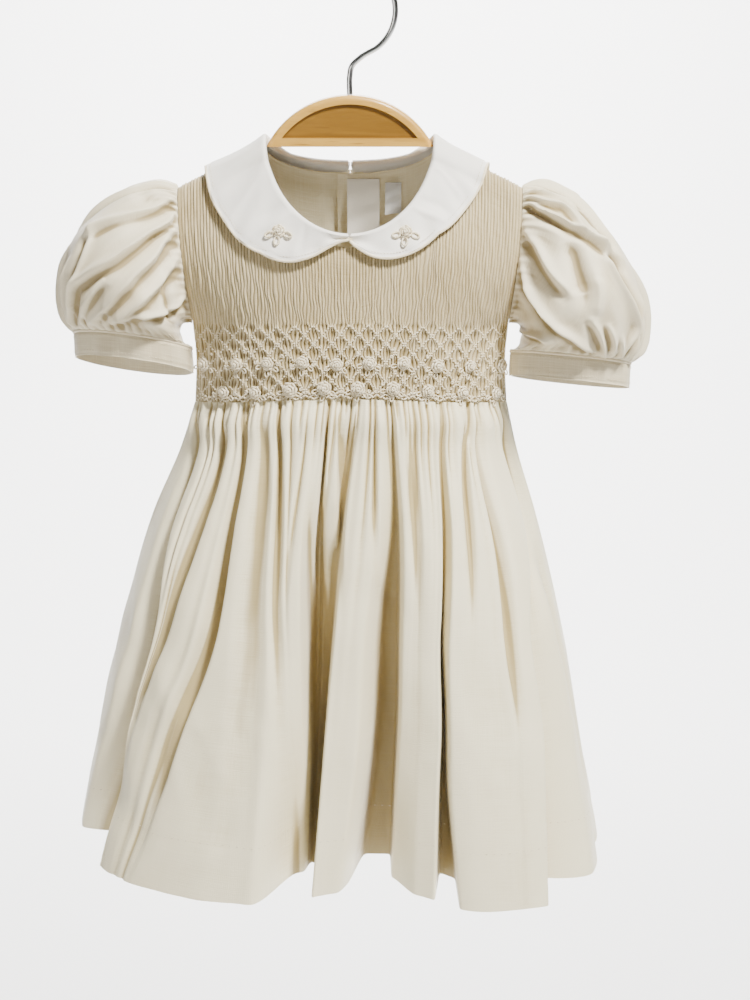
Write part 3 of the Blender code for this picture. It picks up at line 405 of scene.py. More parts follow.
def shell(name, outer, inner, finish, ring=False, every_row=1, every_column=1, hollow=None):
    """A thin closed wall with a fine outer face and a plainer inner one."""
    uv = cloth_uv(outer, ring)
    rows, columns = outer.shape[:2]
    wide = columns + 1 if ring else columns
    down, over = kept(rows, every_row), kept(wide, every_column)
    points = [outer.reshape(-1, 3), inner[np.ix_(down, [c % columns for c in over])].reshape(-1, 3)]
    few = len(over)
    if ring:
        points[1] = inner[np.ix_(down, over[:-1])].reshape(-1, 3)
        few = len(over) - 1
    other, uv_other = rows * columns, rows * wide
    inner_uv = uv[np.ix_(down, over)].reshape(-1, 2)
    faces, marks = [], []

    def out(r, c):
        return r * columns + c % columns, r * wide + c

    def back(r, c):
        return other + r * few + c % few, uv_other + r * len(over) + c

    def face(corners):
        faces.append([corner[0] for corner in corners])
        marks.append([corner[1] for corner in corners])

    for r in range(rows - 1):
        for c in range(wide - 1):
            face((out(r, c), out(r, c + 1), out(r + 1, c + 1), out(r + 1, c)))
    for r in range(len(down) - 1):
        for c in range(len(over) - 1):
            face((back(r, c + 1), back(r, c), back(r + 1, c), back(r + 1, c + 1)))
    for r, few_r, way in ((0, 0, 1), (rows - 1, len(down) - 1, -1)):
        for c in range(len(over) - 1):
            edge = [out(r, i) for i in range(over[c], over[c + 1] + 1)]
            face((edge + [back(few_r, c + 1), back(few_r, c)])[::way])
    if not ring:
        for c, few_c, way in ((0, 0, -1), (columns - 1, len(over) - 1, 1)):
            for r in range(len(down) - 1):
                edge = [out(i, c) for i in range(down[r], down[r + 1] + 1)]
                face((edge + [back(r + 1, few_c), back(r, few_c)])[::way])
    both = np.concatenate((uv.reshape(-1, 2), inner_uv))
    # The inner face takes an even painted shade.
    if hollow is not None:
        hollow = np.concatenate((hollow.ravel(), np.full(len(points[1]), INSIDE_PAINTED_SHADE)))
    return add_mesh(name, np.concatenate(points), faces, finish, both, marks, 60.0, hollow=hollow)


def cord_points(line, radius, sides, closed, up=(0.0, 0.0, 1.0)):
    """The rings of a round cord along a line."""
    line = np.asarray(line, float)
    ahead, behind = np.roll(line, -1, axis=0), np.roll(line, 1, axis=0)
    along = unit(ahead - behind if closed else np.gradient(line, axis=0))
    across = unit(np.cross(along, np.broadcast_to(np.asarray(up, float), along.shape)))
    over = np.cross(across, along)
    angles = np.arange(sides) * 2 * math.pi / sides
    radius = np.broadcast_to(radius, (len(line),))[:, None, None]
    ring = np.cos(angles)[None, :, None] * across[:, None] + np.sin(angles)[None, :, None] * over[:, None]
    return line[:, None] + radius * ring


def cord_faces(count, sides, closed, start=0):
    faces = []
    for i in range(count if closed else count - 1):
        j = (i + 1) % count
        for s in range(sides):
            t = (s + 1) % sides
            here, next_ring = start + i * sides, start + j * sides
            faces.append([here + s, here + t, next_ring + t, next_ring + s])
    if not closed:
        faces.append([start + s for s in range(sides)][::-1])
        faces.append([start + (count - 1) * sides + s for s in range(sides)])
    return faces


def add_cord(name, line, radius, sides, closed, finish, up=(0.0, 0.0, 1.0)):
    rings = cord_points(line, radius, sides, closed, up)
    round_it = np.arange(sides) / sides * 2 * math.pi * float(np.max(radius))
    uv = np.stack(np.meshgrid(round_it, run_along(line)), axis=-1).reshape(-1, 2)
    return add_mesh(name, rings.reshape(-1, 3), cord_faces(len(rings), sides, closed), finish, uv, sharp=80.0)


# ---- sewing: many small things as one mesh


def seed_shape(sides=6, rings=3):
    """A small rounded stitch along X, one long and one wide, as points and faces."""
    points = [(-0.5, 0.0, 0.0)]
    for r in range(1, rings + 1):
        angle = math.pi * r / (rings + 1)
        along, round_it = -0.5 * math.cos(angle), 0.5 * math.sin(angle)
        for s in range(sides):
            turn = 2 * math.pi * s / sides
            points.append((along, round_it * math.cos(turn), round_it * math.sin(turn)))
    points.append((0.5, 0.0, 0.0))
    last = len(points) - 1
    faces = [[0, 1 + (s + 1) % sides, 1 + s] for s in range(sides)]
    for r in range(rings - 1):
        low, high = 1 + r * sides, 1 + (r + 1) * sides
        faces += [[low + s, low + (s + 1) % sides, high + (s + 1) % sides, high + s] for s in range(sides)]
    low = 1 + (rings - 1) * sides
    faces += [[low + s, low + (s + 1) % sides, last] for s in range(sides)]
    return np.array(points), faces


def copies(shape, places, along, normals, sizes):
    """Copies of a small shape, each turned so that its X runs along and its Z along the normal."""
    points, faces = shape
    normals = np.asarray(normals, float)
    along = unit(np.broadcast_to(np.asarray(along, float), normals.shape))
    across = unit(np.cross(normals, along))
    normals = np.cross(along, across)
    turned = np.stack((along, across, normals), axis=-2)
    sized = points[None] * np.broadcast_to(sizes, (len(places), 3))[:, None]
    made = np.einsum("nij,njk->nik", sized, turned) + np.asarray(places, float)[:, None]
    count = len(points)
    all_faces = [[n * count + i for i in face] for n in range(len(places)) for face in faces]
    return made.reshape(-1, 3), all_faces


def join_shapes(parts):
    points, faces, start = [], [], 0
    for some_points, some_faces in parts:
        points.append(some_points)
        faces += [[start + i for i in face] for face in some_faces]
        start += len(some_points)
    return np.concatenate(points), faces


def bullion(line, radius, sides=6, wraps=0.10, per_wrap=3.0):
    """A knot wrapped round with thread: a ribbed cord along a short line, thin at both ends."""
    count = len(line)
    place = np.arange(count)
    ends = np.sqrt(np.clip(1.0 - np.abs(2.0 * place / (count - 1) - 1.0) ** 3, 0.02, 1.0))
    ribs = 1.0 + wraps * np.cos(place * 2 * math.pi / per_wrap)
    rings = cord_points(line, radius * ends * ribs, sides, False)
    return rings.reshape(-1, 3), cord_faces(count, sides, False)


def arc(centre, radius, start, end, height, count=15, spread=0.0):
    """A level arc. height is its rise at the middle, and spread how far out its end lies."""
    share = np.linspace(0.0, 1.0, count)
    angle = np.radians(mix(start, end, share))
    reach = radius + spread * share
    return joined(
        centre[0] + reach * np.cos(angle),
        centre[1] + reach * np.sin(angle),
        centre[2] + height * np.sin(math.pi * share),
    )


# ---- the body's surface


def shoulder_line(x):
    share = np.maximum(0.0, np.abs(x) - NECK_HALF) / (SHOULDER_HALF - NECK_HALF)
    return mix(NECK_Z, SHOULDER_Z, share)


def leaving(drop, full):
    """How far the cloth stands out once it has dropped this far from the hanger's arm."""
    turning = np.sqrt(np.maximum(0.0, ROLL**2 - (ROLL - np.clip(drop, 0.0, ROLL)) ** 2))
    settled = np.clip((drop - ROLL) / SETTLE, 0.0, 1.0)
    hanging = mix(ROLL, full, settled * (2.0 - settled))
    return np.where(drop < ROLL, turning, hanging)


def body_depth(x, z, panel):
    drop = np.maximum(0.0, shoulder_line(x) - z)
    wide = np.minimum(1.0, np.abs(x) / read(BODY, "side", z))
    full = read(BODY, panel, z) * (1.0 - wide**LENS_POWER)
    reach = np.minimum(SOFTENING, drop * 0.6)
    return sum(leaving(drop + reach * k, full) for k in (-1.0, -0.5, 0.0, 0.5, 1.0)) / 5.0


def body_surface(x, z, panel):
    way = -1.0 if panel == "front" else 1.0
    return joined(x, way * np.maximum(body_depth(x, z, panel), SEAM / 3), z)


def body_normal(x, z, panel):
    way = -1.0 if panel == "front" else 1.0
    step = 0.0006
    top = shoulder_line(x)
    high = np.minimum(z + step, top)
    low = np.minimum(z, top - step) - step
    down = joined(0.0, way * (body_depth(x, low, panel) - body_depth(x, high, panel)), low - high)
    across = joined(2 * step, way * (body_depth(x + step, z, panel) - body_depth(x - step, z, panel)), 0.0)
    normal = unit(np.cross(across, down) * way)
    at_top = (top - z < step)[..., None]
    return np.where(at_top, np.array((0.0, 0.0, 1.0)), normal)


def neck_top(x, drop):
    inside = np.sqrt(np.maximum(0.0, 1.0 - np.minimum(1.0, np.abs(x) / NECK_HALF) ** 2))
    return np.where(np.abs(x) >= NECK_HALF, shoulder_line(x), NECK_Z - drop * inside)


def waist_z(share, panel):
    return SIDE_WAIST_Z + WAIST_RISE[panel] * (1.0 - share**2)


def band_top_z(share):
    return SIDE_BAND_Z + BAND_RISE * (1.0 - share**2)


# ---- materials


class Sum:
    """A shader value that Python's operators do sums on."""

    def __init__(self, finish, socket):
        self.finish, self.socket = finish, socket

    def joined(self, operation, other, swapped=False):
        first, second = (other, self) if swapped else (self, other)
        made = self.finish.node("ShaderNodeMath", {"operation": operation}, {0: first, 1: second})
        return Sum(self.finish, made.outputs[0])

    def __add__(self, other):
        return self.joined("ADD", other)

    def __sub__(self, other):
        return self.joined("SUBTRACT", other)

    def __rsub__(self, other):
        return self.joined("SUBTRACT", other, True)

    def __mul__(self, other):
        return self.joined("MULTIPLY", other)

    __radd__ = __add__
    __rmul__ = __mul__


class Finish:
    """A material that is built up from nodes on one Principled shader."""

    def __init__(self, name, **constants):
        self.material = bpy.data.materials.new(name)
        self.material.use_nodes = True
        self.tree = self.material.node_tree
        self.shader = self.tree.nodes["Principled BSDF"]
        for socket, value in constants.items():
            self.shader.inputs[socket.replace("_", " ")].default_value = value

    def feed(self, socket, value):
        if isinstance(value, Sum):
            value = value.socket
        if isinstance(value, bpy.types.NodeSocket):
            self.tree.links.new(value, socket)
        else:
            socket.default_value = value

    def node(self, kind, settings=None, inputs=None):
        made = self.tree.nodes.new(kind)
        for name, value in (settings or {}).items():
            if name == "stops":
                for place, level in value[2:]:
                    made.color_ramp.elements.new(place)
                for element, (place, level) in zip(made.color_ramp.elements, value):
                    element.position, element.color = place, (level, level, level, 1.0)
            else:
                setattr(made, name, value)
        for name, value in (inputs or {}).items():
            self.feed(made.inputs[name], value)
        return made

    def place(self, source="UV", scale=(1.0, 1.0, 1.0), turn=(0.0, 0.0, 0.0)):
        """Where a point lies on the laid-out cloth (UV) or in the piece (Object), stretched by scale."""
        if source == "UV":
            start = self.node("ShaderNodeUVMap", {"uv_map": "cloth"}).outputs["UV"]
        else:
            start = self.node("ShaderNodeTexCoord").outputs["Object"]
        return self.node("ShaderNodeMapping", None, {"Vector": start, "Scale": scale, "Rotation": turn}).outputs[0]

    def noise(self, place, scale, detail=2.0, rough=0.5, twist=0.0, kind="FBM"):
        settings = {"noise_dimensions": "3D", "noise_type": kind}
        values = {"Vector": place, "Scale": scale, "Detail": detail, "Roughness": rough, "Distortion": twist}
        return Sum(self, self.node("ShaderNodeTexNoise", settings, values).outputs["Fac"])

    def threads(self, direction):
        """Even threads in one direction of the cloth."""
        settings = {"wave_type": "BANDS", "bands_direction": direction}
        values = {"Vector": self.place("UV"), "Scale": 640.0, "Distortion": 1.5}
        return Sum(self, self.node("ShaderNodeTexWave", settings, values).outputs["Fac"])

    def ramp(self, value, *stops):
        made = self.node("ShaderNodeValToRGB", {"stops": stops}, {"Fac": value})
        return Sum(self, made.outputs["Color"])

    def blend(self, share, first, second):
        """A colour between two."""
        colours = [(*c, 1.0) if isinstance(c, tuple) else c for c in (first, second)]
        made = self.node("ShaderNodeMix", {"data_type": "RGBA"}, {0: share, 6: colours[0], 7: colours[1]})
        return made.outputs[2]

    def bump(self, height, distance, strength=1.0):
        values = {"Height": height, "Distance": distance, "Strength": strength}
        self.feed(self.shader.inputs["Normal"], self.node("ShaderNodeBump", None, values).outputs["Normal"])

    def set(self, socket, value):
        self.feed(self.shader.inputs[socket], value)

    def grained(self, pattern, dark, light, rough, spread, relief, strength, tone=None):
        """Colour, gloss and relief that all follow one pattern."""
        self.set("Base Color", self.blend(pattern if tone is None else tone, dark, light))
        self.set("Roughness", rough + pattern * spread)
        self.bump(pattern, relief, strength)
        return self.material


def cotton(name, light, dark, deep, rough, crumple=1.0, slub=1.0):
    """Fine cotton: thick threads here and there, pressing marks, painted shade in its folds and a painted
    highlight on its ridges.
    """
    made = Finish(name, Sheen_Weight=0.35, Sheen_Roughness=0.35, Specular_IOR_Level=0.42)
    across = made.noise(made.place("UV", (45.0, 1500.0, 1.0)), 1.0, 3.0, 0.6)
    down = made.noise(made.place("UV", (1500.0, 32.0, 1.0)), 1.0, 2.0, 0.6)
    weave = made.threads("Y") + made.threads("X")
    clouds = made.noise(made.place("Object"), 22.0, 3.0, 0.55)
    creased = made.noise(made.place("UV"), 26.0, 4.0, 0.62, 0.9, "RIDGED_MULTIFRACTAL")
    tone = made.ramp(across * 0.55 * slub + down * 0.25 * slub + clouds * 0.45, (0.40, 0.0), (0.82, 1.0))
    # The fold measure read from the mesh paints the colour towards deep in the folds, as painted shade.
    hollow = Sum(made, made.node("ShaderNodeAttribute", {"attribute_name": "hollow"}).outputs["Fac"])
    shade = made.ramp(hollow + (clouds - 0.5) * 0.12, (0.03, 0.0), (0.55, 1.0))
    # ridge: painted highlight, the colour painted towards the light tone on the folds' ridges.
    ridge = made.ramp(hollow * -1.0, (0.05, 0.0), (0.5, 1.0))
    cloth = made.blend(ridge * 0.9, made.blend(tone, dark, light), light)
    made.set("Base Color", made.blend(shade * 0.85, cloth, deep))
    made.set("Roughness", rough + (across - 0.5) * 0.16 + (clouds - 0.5) * 0.10)
    height = across * (0.42 * slub) + down * (0.22 * slub) + weave * 0.10 + creased * (0.55 * crumple)
    made.bump(height + clouds * (1.2 * crumple), 0.0011, 0.42)
    return made.material


def thread(name, colour, dark):
    """Smooth cotton thread with a slight gloss and its own twist."""
    made = Finish(name, Sheen_Weight=0.2, Specular_IOR_Level=0.5)
    speck = made.noise(made.place("Object"), 900.0)
    tone = made.ramp(speck, (0.35, 0.0), (0.7, 1.0))
    return made.grained(speck, dark, colour, 0.38, 0.15, 0.0004, 0.5, tone)


def cord_cloth(name, light, dark):
    """Piping covered with a bias strip."""
    made = Finish(name, Sheen_Weight=0.3, Specular_IOR_Level=0.45)
    slant = made.noise(made.place("UV", (500.0, 700.0, 1.0), (0.0, 0.0, 0.8)), 1.0)
    return made.grained(slant, dark, light, 0.45, 0.15, 0.0005, 0.4)


def varnished_wood(name):
    """Wood under varnish, darker in the board's sunk panels."""
    made = Finish(name, Coat_Weight=0.35, Coat_Roughness=0.14, Specular_IOR_Level=0.45)
    grain = made.noise(made.place("Object", (9.0, 90.0, 90.0)), 1.0, 5.0, 0.62, 1.2)
    pores = made.noise(made.place("Object", (60.0, 900.0, 900.0)), 1.0)
    rings = made.noise(made.place("Object", (6.0, 40.0, 55.0)), 1.0, 2.0, 0.5, 2.0)
    tone = made.ramp(grain * 0.6 + rings * 0.4, (0.30, 0.0), (0.70, 1.0))
    wood = made.blend(tone, (0.44, 0.225, 0.030), (0.66, 0.385, 0.075))
    panel_wood = made.blend(tone, (0.155, 0.068, 0.005), (0.265, 0.130, 0.012))
    start = made.node("ShaderNodeTexCoord").outputs["Object"]
    arch_middle = {"Vector": start, "Location": (0.0, 0.0, ARCH_RADIUS - ARCH_TOP_Z), "Scale": (1.0, 0.0, 1.0)}
    flat = made.node("ShaderNodeMapping", None, arch_middle).outputs[0]
    reach = Sum(made, made.node("ShaderNodeVectorMath", {"operation": "LENGTH"}, {0: flat}).outputs["Value"])
    height = Sum(made, made.node("ShaderNodeSeparateXYZ", None, {"Vector": start}).outputs["Z"])
    inside, above = ARCH_RADIUS - PANEL_RIM + PANEL_BLUR, BAR_LOW_Z + PANEL_RIM - PANEL_BLUR
    within = made.ramp((inside - reach) * 1000.0, (0.0, 0.0), (0.5, 1.0))
    over_bar = made.ramp((height - above) * 1000.0, (0.0, 0.0), (0.5, 1.0))
    wood = made.blend(within * over_bar, wood, panel_wood)
    made.set("Base Color", made.blend(made.ramp(pores, (0.62, 0.0), (0.75, 0.5)), wood, (0.14, 0.06, 0.008)))
    made.set("Roughness", 0.34 + grain * 0.16)
    made.bump(grain * 0.5 + pores * 0.5, 0.0006, 0.25)
    return made.material


def bright_metal(name):
    """Drawn wire, plated bright."""
    made = Finish(name, Metallic=1.0)
    drawn = made.noise(made.place("Object", (1200.0, 1200.0, 60.0)), 1.0)
    return made.grained(drawn, (0.78, 0.78, 0.79), (0.92, 0.92, 0.92), 0.10, 0.12, 0.0002, 0.3)


def pearl(name):
    """Shell, cloudy under a thin gloss."""
    made = Finish(name, Specular_IOR_Level=0.6, Coat_Weight=0.3, Coat_Roughness=0.08)
    cloudy = made.noise(made.place("Object"), 260.0, 3.0, 0.55, 1.5)
    return made.grained(cloudy, (0.72, 0.68, 0.60), (0.90, 0.87, 0.82), 0.18, 0.15, 0.0003, 0.15)


# Each cotton: its light tone, which its ridges are also painted towards as highlight, its dark tone, and its deep
# colour, the painted shade in its folds, then roughness, crumple and slub.
IVORY = cotton(
    "ivory_cotton_cloth", (0.935, 0.85, 0.60), (0.74, 0.635, 0.36), (0.42, 0.315, 0.125), 0.44, 1.5, 1.25
)
# The sleeves and cuffs are the same ivory cotton as the skirt; their darker tones here are painted shade.
SHADED_SLEEVE_COTTON = cotton("sleeve_cotton_cloth_painted_shade", (0.86, 0.77, 0.56), (0.57, 0.475, 0.29), (0.30, 0.22, 0.09), 0.44, 1.2)
# The smocked front's cloth has darker tones than the skirt's: painted shade for the shadow it lies in under the
# collar.
SHADED_PLEATED_COTTON = cotton(
    "pleated_cotton_cloth_painted_shade", (0.70, 0.59, 0.36), (0.41, 0.315, 0.155), (0.21, 0.145, 0.045), 0.6, 0.35, 0.8
)
WHITE = cotton("collar_cotton_cloth", (0.95, 0.925, 0.86), (0.91, 0.87, 0.785), (0.66, 0.55, 0.38), 0.5, 0.6, 0.7)
LABEL = cotton("label_tape_cloth", (0.93, 0.89, 0.80), (0.87, 0.82, 0.71), (0.7, 0.63, 0.50), 0.42, 0.3, 0.4)
TAB = cotton("tab_tape_cloth", (0.74, 0.73, 0.69), (0.62, 0.61, 0.57), (0.5, 0.49, 0.44), 0.42, 0.3, 0.4)
THREAD = thread("ivory_thread", (0.91, 0.83, 0.64), (0.68, 0.57, 0.36))
PIPING = cord_cloth("piping_cloth", (0.90, 0.80, 0.60), (0.78, 0.66, 0.43))
WOOD = varnished_wood("honey_varnished_wood")
METAL = bright_metal("bright_hook_wire")
PEARL = pearl("pearl_button_shell")


def settle(piece, *nodes, slot):
    """Puts a piece on the dress's only body, in place of the nodes it stands for."""
    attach(piece, "root")
    if nodes:
        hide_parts(*nodes)


def add_cloth(name, node, slot, finish, outer, inner, *fineness, hollow=None):
    settle(shell(name, outer, inner, finish, *fineness, hollow=hollow), node, slot=slot)


def sew(name, parts, tidy=False):
    """Adds stitches as one piece of thread."""
    points, faces = join_shapes(parts)
    settle(add_mesh(name, points, faces, THREAD, sharp=180.0, tidy=tidy), slot="piping_cord")


# ---- pleated and smocked front

YOKE_ROWS = 40
ROWS_PER_STEP = 5
COLUMNS_PER_PLEAT = 5
PULL = 0.0007  # how far the stitches draw the pleats sideways
RIDGE_POWER = 0.7
BAND_PUFF = 0.0007  # how far the diamonds' middles stand out between their corners
BAND_END = 0.992  # where the stitches stop short of the side seams
PLEAT_DEPTHS = (0.72, 1.18)  # the shallowest and the deepest pleat
FRONT_SINK = 0.0004  # how far the inner face lies behind the pleats' feet
YOKE_PAINTED_SHADE, FRONT_PAINTED_SHADE = 0.5, 0.08  # how much of its folds' painted shade the yoke keeps, and painted shade added all over the front
# How high the pleats stand on each part of the front, as a share of PLEAT_RISE.
PLEAT_HEIGHTS = {"roll": 0.8, "yoke": 0.95, "band": 1.1}
# The rows over the hanger's arm, as drops from its top.
ROLL_ROWS = [("roll", ROLL * (1.0 - math.cos(math.radians(angle)))) for angle in (0, 22, 45, 68, 90)]
# Where the front and the backs end at the sides.
EDGE_X = SHOULDER_HALF - SEAM / 2


def crowded(x):
    """x at the neck's edge, where the columns crowd towards the neck's corner."""
    spare = np.clip((NECK_HALF - x) / (NECK_HALF - CORNER_X), 0.0, 1.0)
    drawn = NECK_HALF - (NECK_HALF - CORNER_X) * spare**3
    return np.where((x > CORNER_X) & (x < NECK_HALF), drawn, x)


def column_top(share, neck_drop):
    x = crowded(np.abs(share) * EDGE_X)
    return np.copysign(x, share), neck_top(x, neck_drop)


def front_rows():
    """The front's rows: drops over the hanger's arm, shares of the yoke, and steps of the band."""
    rows = ROLL_ROWS + [("yoke", i / YOKE_ROWS) for i in range(1, YOKE_ROWS)]
    return rows + [("band", i / ROWS_PER_STEP) for i in range(BAND_STEPS * ROWS_PER_STEP + 1)]


def yoke_share(kind, value):
    return {"roll": 0.0, "yoke": value, "band": 1.0}[kind]


def front_place(kind, value, share):
    """x and z of the front's columns in one row, before the pleats."""
    x_top, top = column_top(share, FRONT_NECK_DROP)
    band_top, waist = band_top_z(share), waist_z(share, "front") + SEAM / 2
    if kind == "roll":
        z = top - value
    elif kind == "yoke":
        z = mix(top - ROLL, band_top, value)
    else:
        z = mix(band_top, waist, value / BAND_STEPS)
    spread = mix(x_top, share * EDGE_X, yoke_share(kind, value))
    return spread + share * (read(BODY, "cut", z) - SHOULDER_HALF), z


def pleat_rise(share, kind, z, depths):
    """Height of the pleats over the plain front."""
    pleat = (share + 1.0) / 2.0 * PLEATS
    ridge = np.abs(np.sin(math.pi * pleat)) ** RIDGE_POWER
    which = np.minimum(pleat.astype(int), PLEATS - 1)
    uneven = depths[which] * (0.85 + 0.25 * np.sin(z * 260.0 + which * 2.3))
    edge = np.clip(np.minimum(pleat, PLEATS - pleat) / 2.0, 0.0, 1.0)
    return PLEAT_RISE * PLEAT_HEIGHTS[kind] * ridge * uneven * edge


def diamond_turn(share):
    """How far round its wave the smocking is, in radians."""
    return 2 * math.pi * (share + 1.0) * DIAMONDS / 2.0


def wander(share, z):
    """How far the pleats stray sideways from straight lines."""
    slow = 0.00040 * np.sin(z * 290.0 + 2.6 * np.sin(share * 23.0)) + 0.00034 * np.sin(z * 140.0 + share * 41.0)
    return slow + 0.0002 * np.sin(z * 620.0 + 3.0 * np.sin(share * 37.0))


def front_grid():
    """The front's outer and inner face, and the normals of the plain front under its pleats."""
    share = np.linspace(-1.0, 1.0, PLEATS * COLUMNS_PER_PLEAT + 1)
    depths = np.random.default_rng(11).uniform(*PLEAT_DEPTHS, PLEATS)
    inside = 1.0 - np.abs(share) ** 12
    plain, rises = [], []
    for kind, value in front_rows():
        x, z = front_place(kind, value, share)
        if kind == "band":
            x = x - PULL * np.sin(diamond_turn(share)) * np.cos(math.pi * value) * inside
        x = x + wander(share, z) * yoke_share(kind, value) * inside
        rise = pleat_rise(share, kind, z, depths)
        if kind == "band":
            rise = rise + BAND_PUFF * np.cos(diamond_turn(share)) * np.cos(math.pi * value) * inside
            rise = rise * (0.35 + 0.65 * min(1.0, (BAND_STEPS - value) / 0.6))
        plain.append(body_surface(x, z, "front"))
        rises.append(rise)
    plain = np.array(plain)
    normals = grid_normals(plain, np.array((0.0, -1.0, 0.3)))
    return plain + np.array(rises)[..., None] * normals, plain - (CLOTH + FRONT_SINK) * normals, normals


def build_front():
    outer, inner, normals = front_grid()
    # The front's folds give its painted shade and highlight; the yoke keeps only part of it, and some painted
    # shade is added all over.
    hollow = np.clip(hollows(outer, normals) + FRONT_PAINTED_SHADE, -1.0, 1.0)
    hollow[: -(BAND_STEPS * ROWS_PER_STEP + 1)] *= YOKE_PAINTED_SHADE
    name = "smocked_front_cloth"
    add_cloth(name, "front_smocked", "smocked_cotton", SHADED_PLEATED_COTTON, outer, inner, False, 4, 9, hollow=hollow)


def front_spot(share, step, lift):
    """A point on the smocked band, and the band's normal there."""
    share, step = np.asarray(share, float), np.asarray(step, float)
    z = mix(band_top_z(share), waist_z(share, "front") + SEAM / 2, step / BAND_STEPS)
    x = share * (read(BODY, "cut", z) - SEAM / 2)
    normal = body_normal(x, z, "front")
    return body_surface(x, z, "front") + lift * normal, normal


# ---- smocking stitches

STITCHES_PER_LINE = 4
SEED_LENGTH = 0.0016
SEED_WIDTH = 0.00105
CABLE_SIZE = (0.0026, 0.0011, 0.0010)
CABLE_ROWS = (7.35, 7.72)
CABLE_WAVE = 0.16
CABLE_SLANT = 32.0
# Each row of roses: its step down the band, where its first and last rose stand across, how many it
# has, and how far to each side of a rose its small knots stand.
ROSE_ROWS = ((4.1, -0.930, 0.965, 10, (-0.072, 0.062)), (6.95, -0.800, 0.915, 9, (-0.066, 0.070)))
# A rose's rounds of knots from its heart out: first turn, last turn and step in degrees, height, radius,
# degrees round, rise, points, spread, and thickness.
ROSE_ROUNDS = (
    (0, 360, 120, 0.0022, 0.00070, 160.0, 0.0005, 9, 0.0, 0.00062),
    (0, 360, 72, 0.0013, 0.0016, 100.0, 0.0006, 12, 0.0005, 0.00062),
    (20, 380, 60, 0.0005, 0.0025, 74.0, 0.0005, 13, 0.0008, 0.00058),
)
# Each leaf of a rose: the way it points in degrees, and how far out it stands.
ROSE_LEAVES = ((200.0, 0.046), (322.0, 0.045), (262.0, 0.050))
LEAF_SIZE = 1.35
LEAF_SWING = 14.0
ROSE_SIZES, KNOT_SIZES = (1.12, 1.38), (0.85, 1.15)
ROSE_STRAY = (0.008, 0.25)  # across and down
STEPS_ACROSS = 16.0  # steps down the band to 1 across it
# Knots between the roses, as places across and steps down the band.
LONE_KNOTS = [(-0.66, 2.6), (-0.18, 2.3), (0.27, 2.5), (0.68, 2.2), (-0.42, 3.2), (0.05, 3.1), (0.48, 3.2)]


def build_lattice():
    """Seed-like stitches along the lines of the smocking's diamonds."""
    spots = []
    for step in range(BAND_STEPS):
        for corner in range(-1 + (step + 1) % 2, 2 * DIAMONDS + 1, 2):
            for way in (-1, 1):
                for number in range(STITCHES_PER_LINE):
                    t = (number + 0.5) / STITCHES_PER_LINE
                    share = (corner + way * t) / DIAMONDS - 1.0
                    if abs(share) < BAND_END:
                        spots.append((share, step + t, way))
    shares, steps, ways = np.array(spots).T
    jitter = np.random.default_rng(5)
    lift = PLEAT_RISE + 0.0002
    places, normals = front_spot(shares, steps + jitter.uniform(-0.03, 0.03, len(steps)), lift)
    ahead, _ = front_spot(shares + ways * 0.01, steps + 0.01 * DIAMONDS, lift)
    along = unit(ahead - places) * 0.6 + np.array((1.0, 0.0, 0.0)) * ways[:, None] * 0.4
    longs = SEED_LENGTH * jitter.uniform(0.85, 1.1, len(places))
    wides = SEED_WIDTH * jitter.uniform(0.9, 1.1, len(places))
    sizes = joined(longs, wides, SEED_WIDTH * 0.9)
    sew("smocking_lattice_stitches", [copies(seed_shape(), places, along, normals, sizes)])


def rose_shape():
    """A rose of bullion knots about 7 mm across: a tight heart and two rounds of petals."""
    knots = []
    for first, last, step, height, radius, sweep, rise, count, spread, thick in ROSE_ROUNDS:
        for turn in range(first, last, step):
            line = arc((0.0, 0.0, height), radius, turn, turn + sweep, rise, count, spread)
            knots.append(bullion(line, thick))
    return join_shapes(knots)


def ring_knot_shape():
    """A small knot with a dimple in it."""
    return bullion(arc((0.0, 0.0, 0.0004), 0.00072, 0.0, 348.0, 0.0, 13), 0.00052, 6, 0.05)


def loop_shape():
    """A detached chain stitch: a narrow loop held at its tip."""
    angle = 2 * math.pi * np.linspace(0.0, 1.0, 13)
    x, y = 0.0026 * (1.0 - np.cos(angle)) / 2.0, 0.0008 * np.sin(angle)
    return bullion(joined(x, y, 0.0003 + 0.0002 * np.sin(angle / 2)), 0.00034, 5, 0.06)


def turned_along(share, step, degrees):
    """A direction on the smocked band, turned from level by so many degrees."""
    here, normal = front_spot(share, step, 0.0)
    there, _ = front_spot(np.asarray(share) + 0.01, step, 0.0)
    level, angle = unit(there - here), np.radians(degrees)
    return np.cos(angle)[:, None] * level + np.sin(angle)[:, None] * np.cross(normal, level)


